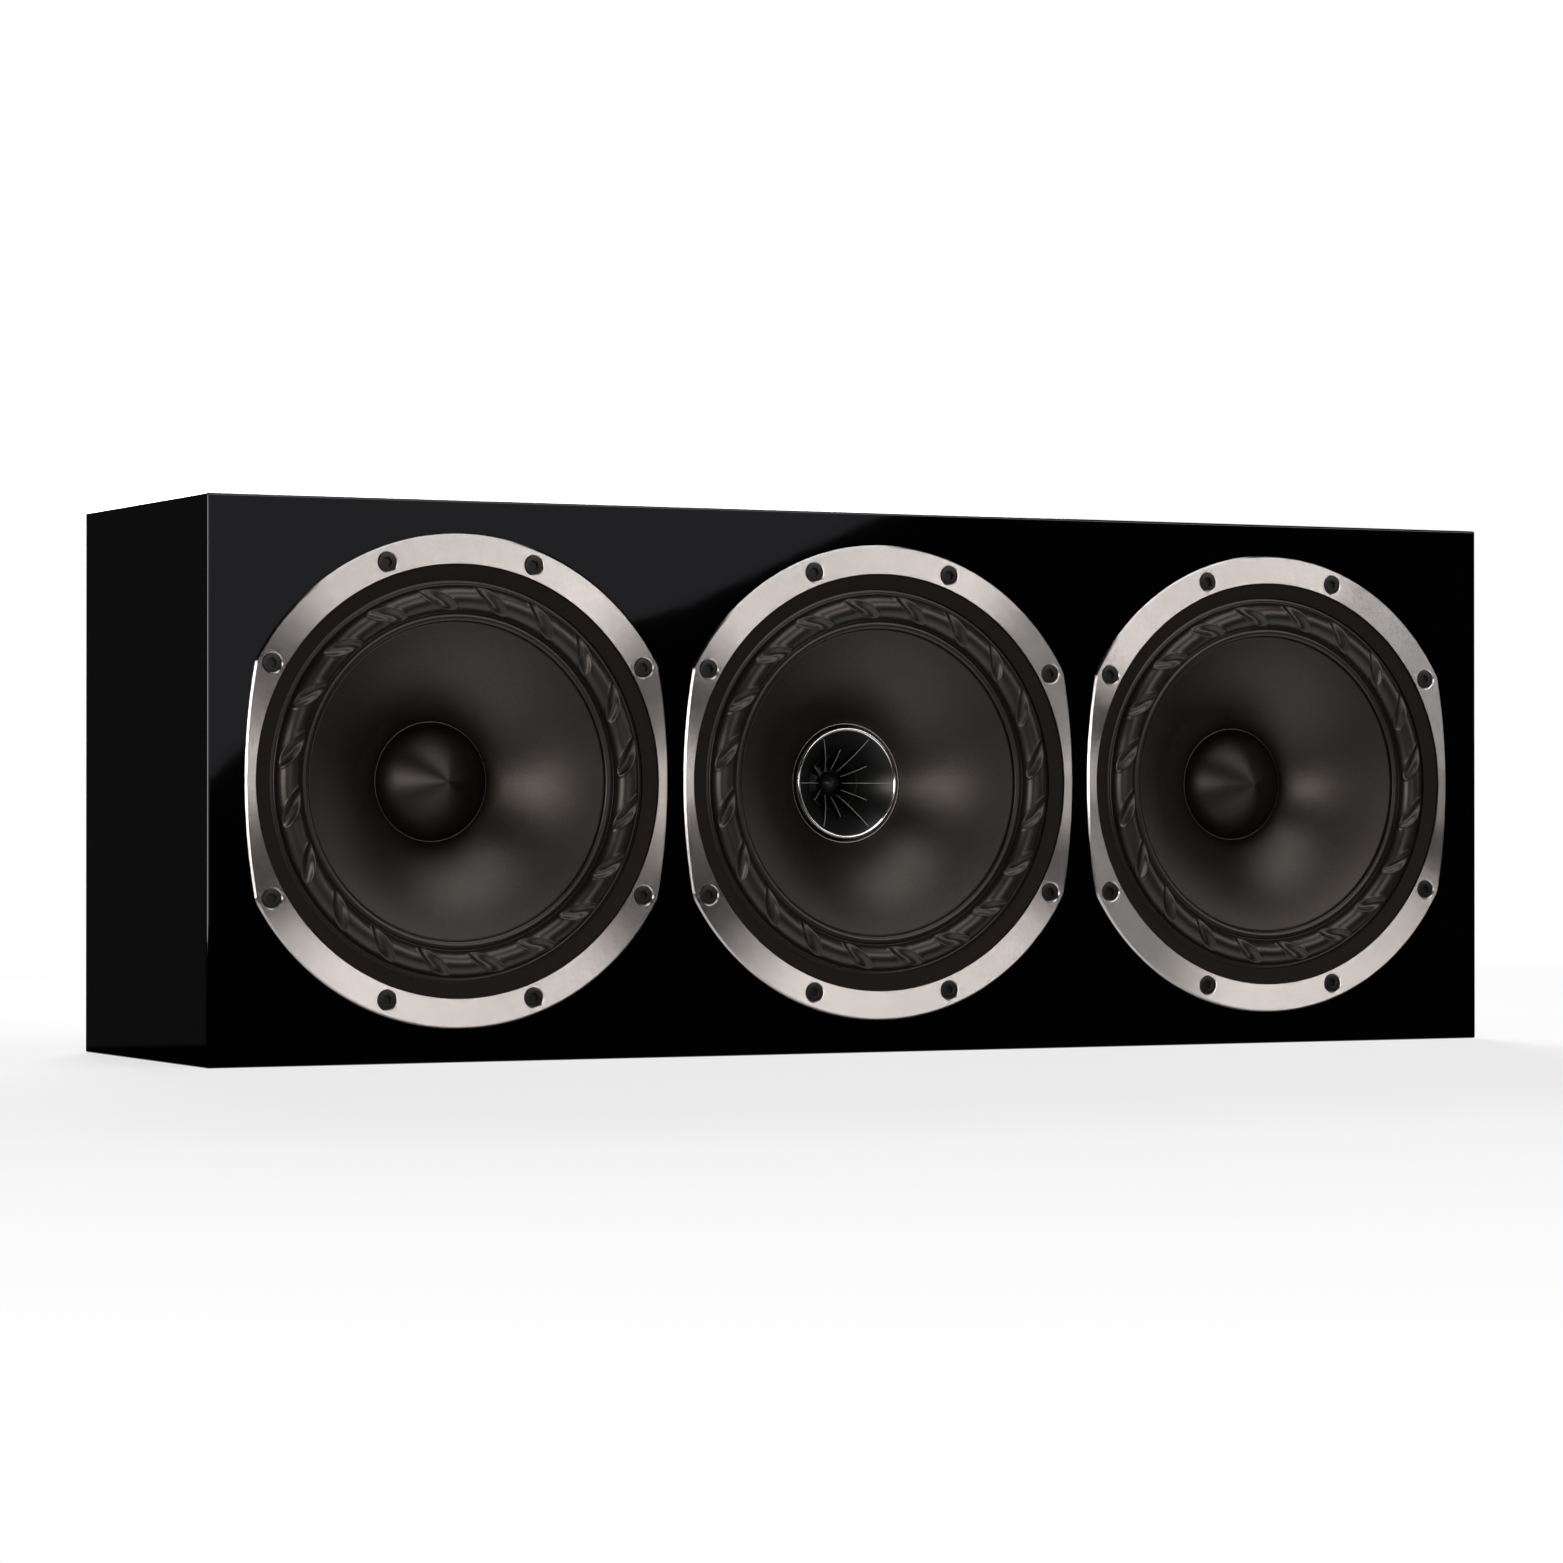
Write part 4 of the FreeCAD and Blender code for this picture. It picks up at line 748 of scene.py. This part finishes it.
def screws():
    """The screws of the trim frames and those of the terminal plate."""
    shape = socket_screw("frame_screw", FRAME_SCREW, 1)
    piece = grown("socket_screws", frame_screw_tree(), {
        "Count": SCREW_COUNT, "Circle radius": SCREW_CIRCLE, "First turn": SCREW_FIRST,
        "Turn between": SCREW_PITCH, "Unit pitch": CENTRES["right"].x - CENTRES["centre"].x,
        "Centre": CENTRES["centre"], "Seed": SCREW_SEED, "Material": FINISHES["black_steel"],
    }, shape)
    settle(piece, "cabinet", "black_steel", "driver_screws")
    low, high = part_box("terminal_screws")
    head = PLATE_SCREW["head"] * MM
    middle = (low + high) / 2
    plate_face = high.y + PLATE_SCREW["top"] * MM
    shape = socket_screw("plate_screw", PLATE_SCREW, -1)
    piece = grown("terminal_socket_screws", plate_screw_tree(), {
        "Width": high.x - low.x - 2 * head, "Height": high.z - low.z - 2 * head,
        "Centre": Vector((middle.x, plate_face, middle.z)), "Seed": SCREW_SEED,
        "Material": FINISHES["black_steel"],
    }, shape)
    settle(piece, "cabinet", "black_steel", "terminal_screws")


def placed(name, mesh, material):
    """A new object with a mesh and its material."""
    mesh.materials.append(material)
    item = bpy.data.objects.new(name, mesh)
    bpy.context.scene.collection.objects.link(item)
    return item


def wall_depth(radius):
    """The depth of the horn's wall at a radius."""
    centre_radius, centre_depth = bulge(HORN_WALL_START, HORN_THROAT, HORN_CURVE)
    return centre_depth - math.sqrt(HORN_CURVE * HORN_CURVE - (centre_radius - radius) ** 2)


def bead_ring(name, radius, depth, thickness, side, finish):
    """A thin round bead about a drive unit's axis."""
    steps = BEAD_POINTS - 1
    profile = arc(radius, depth, thickness, 0.0, math.tau * steps / BEAD_POINTS, steps)
    mesh = turned_shape(name, profile, HORN_STEPS, CENTRES[side], closed=True)
    return placed(name, mesh, FINISHES[finish])


def horn():
    """The tweeter's horn, turned as one closed profile, and the ring at its throat."""
    lip_radius = HORN_RADIUS - HORN_LIP_ROUND
    lip_depth = HORN_MOUTH_DEPTH + HORN_LIP_ROUND
    lip = arc(lip_radius, lip_depth, HORN_LIP_ROUND, -math.pi / 2, HORN_LIP_TURN, HORN_LIP_ROWS)
    wall = []
    for row in range(1, HORN_WALL_ROWS + 1):
        radius = lip[-1][0] + (HORN_THROAT[0] - lip[-1][0]) * row / HORN_WALL_ROWS
        wall.append((radius, wall_depth(radius)))
    profile = [*lip, *wall, *HORN_CHAMBER, (HORN_RADIUS, HORN_BACK_DEPTH)]
    mesh = turned_shape("horn", profile, HORN_STEPS, CENTRES["centre"], closed=True)
    settle(placed("horn", mesh, FINISHES["black_horn"]), "cabinet", "black_horn", "tweeter_waveguide")
    ring_depth = wall_depth(THROAT_RING_RADIUS)
    ring = bead_ring("throat_ring", THROAT_RING_RADIUS, ring_depth, THROAT_RING_ROUND, "centre", "black_horn")
    settle(ring, "cabinet", "black_horn")


def rib_tree():
    """Thin ribs with rounded edges, which follow a curve from the throat outwards."""
    wire, size = geometry_tree("horn_ribs", {
        "Count": "Int", "Inner radius": "Float", "Outer radius": "Float", "First turn": "Float",
        "Thickness": "Float", "Edge curve": "Float", "Edge centre": "Vector", "Wall curve": "Float",
        "Wall centre": "Vector", "Root": "Float", "Throat depth": "Float", "Centre": "Vector",
        "Material": "Material",
    })
    grid = wire.node("GeometryNodeMeshGrid", inputs={
        "Size X": 1.0, "Size Y": 2.0, "Vertices X": RIB_STEPS + 1, "Vertices Y": RIB_ROWS + 1})
    along, around = wire.node("GeometryNodeInputPosition").apart()[:2]
    radius = size["Inner radius"] + (along + 0.5) * (size["Outer radius"] - size["Inner radius"])

    def depth_on(curve, centre):
        centre_radius, centre_depth = centre.apart()[:2]
        offset = centre_radius - radius
        return centre_depth - wire.math("SQRT", curve * curve - offset * offset)

    edge = depth_on(size["Edge curve"], size["Edge centre"])
    wall = depth_on(size["Wall curve"], size["Wall centre"])
    root = wire.math("MINIMUM", wall, size["Throat depth"]) + size["Root"]
    side = wire.math("ABSOLUTE", around)
    leg = side.rise(0.5, 1.0, 1.0)
    bend = around.rise(-0.5, 0.5, math.pi)
    ends = 1 - wire.math("POWER", wire.math("ABSOLUTE", along * 2.0), RIB_END_POWER)
    foot = 1 - wire.math("POWER", leg, RIB_FOOT_POWER)
    half = size["Thickness"] / 2.0
    width = wire.math("COSINE", bend) * half * ends * foot
    top = edge + half - wire.math("SINE", bend) * half
    depth = top + leg * (root - top)
    shaped = wire.node("GeometryNodeSetPosition", inputs={
        "Geometry": grid, "Position": wire.joined(radius, depth, width)})
    number = wire.node("GeometryNodeInputIndex")
    turn = size["First turn"] + number * (math.tau / RIB_COUNT)
    points = wire.node("GeometryNodePoints", inputs={"Count": size["Count"], "Position": size["Centre"]})
    ribs = wire.node("GeometryNodeInstanceOnPoints", inputs={
        "Points": points, "Instance": merged(wire, shaped), "Rotation": wire.joined(0.0, turn, 0.0)})
    return close_tree(wire, ribs, size["Material"])


def horn_ribs():
    """Six long ribs that reach the lip, and six short ones between them."""
    tree = rib_tree()
    edge_centre = bulge(RIB_OUTER, RIB_INNER, RIB_CURVE)
    wall_centre = bulge(HORN_WALL_START, HORN_THROAT, HORN_CURVE)
    for name, reach, first in (("long", RIB_OUTER[0], 0.0), ("short", SHORT_RIB_RADIUS, math.pi / RIB_COUNT)):
        piece = grown(f"{name}_horn_ribs", tree, {
            "Count": RIB_COUNT, "Inner radius": RIB_INNER[0], "Outer radius": reach, "First turn": first,
            "Thickness": RIB_THICKNESS, "Edge curve": RIB_CURVE, "Edge centre": (*edge_centre, 0),
            "Wall curve": HORN_CURVE, "Wall centre": (*wall_centre, 0),
            "Root": RIB_ROOT, "Throat depth": HORN_THROAT[1], "Centre": CENTRES["centre"],
            "Material": FINISHES["horn_rib"],
        })
        settle(piece, "cabinet", "black_horn")


def cap_seam(side):
    """The bead of glue where a dust cap stands on its cone."""
    seam = bead_ring(f"{side}_cap_seam", SEAM_RADIUS, SEAM_DEPTH, SEAM_ROUND, side, "glue")
    settle(seam, f"{side}_cone_unit", "cap_paper")


screws()
horn()
horn_ribs()
for side in ("left", "right"):
    cap_seam(side)


# The camera stands to the left of the front, level with the middle of the cabinet
CAMERA_PLACE = (-1.0499, -2.0987, 0.1102)
CAMERA_YAW = math.radians(-26.34)
CAMERA_PITCH = math.radians(90.386)
CAMERA_LENS = 112.93
CAMERA_SENSOR = 36.0

lens = bpy.data.cameras.new("camera")
lens.lens = CAMERA_LENS
lens.sensor_width = CAMERA_SENSOR
camera = bpy.data.objects.new("camera", lens)
camera.location = CAMERA_PLACE
camera.rotation_euler = (CAMERA_PITCH, 0, CAMERA_YAW)
bpy.context.scene.collection.objects.link(camera)
bpy.context.scene.camera = camera

AIM = (0, 0, 0.125)
WHITE = (1, 1, 1)
WARM = (1.0, 0.95, 0.92)
LAMPS = {
    "overhead": {"place": (0.1, -0.8, 1.8), "width": 1.8, "height": 0.8, "power": 12},
    "front_high": {"place": (1.38, -3.0, 1.5), "width": 3.16, "height": 1.05, "power": 33, "colour": WARM},
    "left_low": {"place": (-1.95, -1.4, 0.3), "width": 1.2, "height": 0.6, "power": 17, "colour": WARM},
    "right_side": {"place": (0.85, -0.42, 0.32), "aim": (0.211, -0.08, 0.125), "width": 0.22, "height": 0.34,
                   "power": 0.34},
    "camera_low": {"place": (-0.26, -2.3, 0.2), "width": 1.24, "height": 0.38, "power": 2.5, "colour": WARM},
    "floor_glow": {"place": (0, -0.5, 0.003), "aim": (0, -0.5, 1), "width": 1.4, "height": 0.82, "power": 2.3,
                   "spread": math.radians(140)},
    "rear": {"place": (0.5, 1.7, 0.9), "aim": (0, 0.1, 0.08), "width": 1.2, "height": 0.8, "power": 12,
             "spread": math.radians(70)},
}


def softbox(name, place, width, height, power, aim=AIM, colour=WHITE, spread=math.pi):
    """A rectangular lamp that the camera doesn't see."""
    lamp = bpy.data.lights.new(name, "AREA")
    lamp.shape = "RECTANGLE"
    lamp.size = width
    lamp.size_y = height
    lamp.energy = power
    lamp.color = colour
    lamp.spread = spread
    item = bpy.data.objects.new(name, lamp)
    item.location = place
    item.rotation_euler = (Vector(aim) - Vector(place)).to_track_quat("-Z", "Y").to_euler()
    item.visible_camera = False
    bpy.context.scene.collection.objects.link(item)


for name, lamp_sizes in LAMPS.items():
    softbox(name, **lamp_sizes)


def stage_mesh(name, corners, faces, material):
    """A piece of the stage."""
    mesh = bpy.data.meshes.new(name)
    mesh.from_pydata(corners, [], faces)
    return placed(name, mesh, material)


def panel(name, corners, faces, material):
    """A stage panel that shows only in reflections."""
    item = stage_mesh(name, corners, faces, material)
    item.visible_camera = False
    item.visible_diffuse = False
    item.visible_shadow = False
    item.visible_transmission = False


def stage_finish(name):
    """An empty material for the stage, with its wire and its end."""
    material = bpy.data.materials.new(name)
    material.use_nodes = True
    tree = material.node_tree
    tree.nodes.clear()
    return material, Wire(tree), tree.nodes.new("ShaderNodeOutputMaterial")


def glow(wire, colour, level=1.0):
    """Even light of a colour."""
    return wire.node("ShaderNodeEmission", inputs={"Color": (*colour, 1), "Strength": level})


# Black cloth keeps the studio's white out of the lacquer: a round tent, seen only in reflections
TENT_RADIUS = 5.0
TENT_STEPS = 48
TENT_ROWS = 12
TENT_LIFT = 0.0004
TENT_FRONT_LEVEL = 0.002
TENT_REAR_GAIN = 0.021
TENT_REAR = (0.09, 0.15)


def tent_cloth():
    """Black cloth in front, a shade lighter behind, where the cabinet's side mirrors it."""
    material, wire, end = stage_finish("tent_cloth")
    backwards = wire.node("ShaderNodeTexCoord", output="Object").apart()[1]
    level = TENT_FRONT_LEVEL + backwards.band(*TENT_REAR) * TENT_REAR_GAIN
    wire.feed(end.inputs["Surface"], glow(wire, WHITE, level))
    return material


def black_tent():
    """A half ball of cloth over a round of it on the floor."""
    corners = []
    for row in range(TENT_ROWS):
        rise = math.pi / 2 * row / TENT_ROWS
        across = TENT_RADIUS * math.cos(rise)
        height = TENT_LIFT + TENT_RADIUS * math.sin(rise)
        for step in range(TENT_STEPS):
            turn = math.tau * step / TENT_STEPS
            corners.append((across * math.cos(turn), across * math.sin(turn), height))
    top = len(corners)
    corners.append((0, 0, TENT_LIFT + TENT_RADIUS))
    faces = [tuple(range(TENT_STEPS))]
    for row in range(TENT_ROWS):
        low = row * TENT_STEPS
        high = low + TENT_STEPS
        for step in range(TENT_STEPS):
            after = (step + 1) % TENT_STEPS
            if row + 1 < TENT_ROWS:
                faces.append((low + step, low + after, high + after, high + step))
            else:
                faces.append((low + step, low + after, top))
    panel("black_tent", corners, faces, tent_cloth())


# A grey card in front, whose edge the front panel mirrors. The edge is given by points on the panel
GREY_CARD_PLACE = -2.3
GREY_CARD_COLOUR = (0.36, 0.36, 0.40)
GREY_CARD_EDGE = ((-0.345, 0.102), (-0.33, 0.1245), (-0.32, 0.134), (-0.31, 0.142), (-0.222, 0.169),
                  (-0.098, 0.206), (0.03, 0.262))


def mirrored(x, z):
    """The point of the card that the camera sees at a point of the front panel."""
    eye = Vector(CAMERA_PLACE)
    eye.y = 2 * baffle_front - eye.y
    spot = Vector((x, baffle_front, z))
    return eye + (spot - eye) * (GREY_CARD_PLACE - eye.y) / (spot.y - eye.y)


def grey_card():
    """The card, from its mirrored edge to the corner above the edge's first point."""
    material, wire, end = stage_finish("grey_card")
    wire.feed(end.inputs["Surface"], glow(wire, GREY_CARD_COLOUR))
    corners = [mirrored(x, z) for x, z in GREY_CARD_EDGE]
    corners.append(mirrored(GREY_CARD_EDGE[0][0], GREY_CARD_EDGE[-1][1]))
    panel("grey_card", corners, [tuple(range(len(corners)))], material)


AMBIENT = 0.06
FLOOR_HALF = 14.0
FLOOR_COLOUR = (0.85, 0.85, 0.85)
SHADOW_NEAR = 0.5
SHADOW_FAR = 1.5
SHADOW_SHARE = 0.3


def white_rays(wire):
    """1 for rays that show the background: from the camera, in reflections and through glass."""
    path = wire.node("ShaderNodeLightPath").socket.node
    rays = [Wire(wire.tree, path.outputs[f"Is {kind} Ray"]) for kind in ("Camera", "Glossy", "Transmission")]
    return wire.math("MINIMUM", rays[0] + rays[1] + rays[2], 1.0)


def floor():
    """A white floor that keeps the soft shadow under the cabinet and runs into the background."""
    material, wire, end = stage_finish("floor")
    away = wire.node("ShaderNodeTexCoord", output="Object").length()
    plain = away.band(SHADOW_NEAR, SHADOW_FAR) * SHADOW_SHARE + (1 - SHADOW_SHARE)
    lit = wire.node("ShaderNodeBsdfDiffuse", inputs={"Color": (*FLOOR_COLOUR, 1)})
    share = plain * white_rays(wire)
    shader = wire.node("ShaderNodeMixShader", inputs={0: share, 1: lit, 2: glow(wire, WHITE)})
    wire.feed(end.inputs["Surface"], shader)
    far = FLOOR_HALF
    corners = [(-far, -far, 0), (far, -far, 0), (far, far, 0), (-far, far, 0)]
    stage_mesh("floor", corners, [(0, 1, 2, 3)], material)


def surroundings():
    """A white background, with a softer level for the light that it sheds."""
    world = bpy.data.worlds.new("studio")
    world.use_nodes = True
    bpy.context.scene.world = world
    wire = Wire(world.node_tree)
    background = world.node_tree.nodes["Background"]
    background.inputs["Color"].default_value = (*WHITE, 1)
    wire.feed(background.inputs["Strength"], white_rays(wire) * (1 - AMBIENT) + AMBIENT)


black_tent()
grey_card()
floor()
surroundings()


bpy.context.scene.view_settings.view_transform = "Standard"
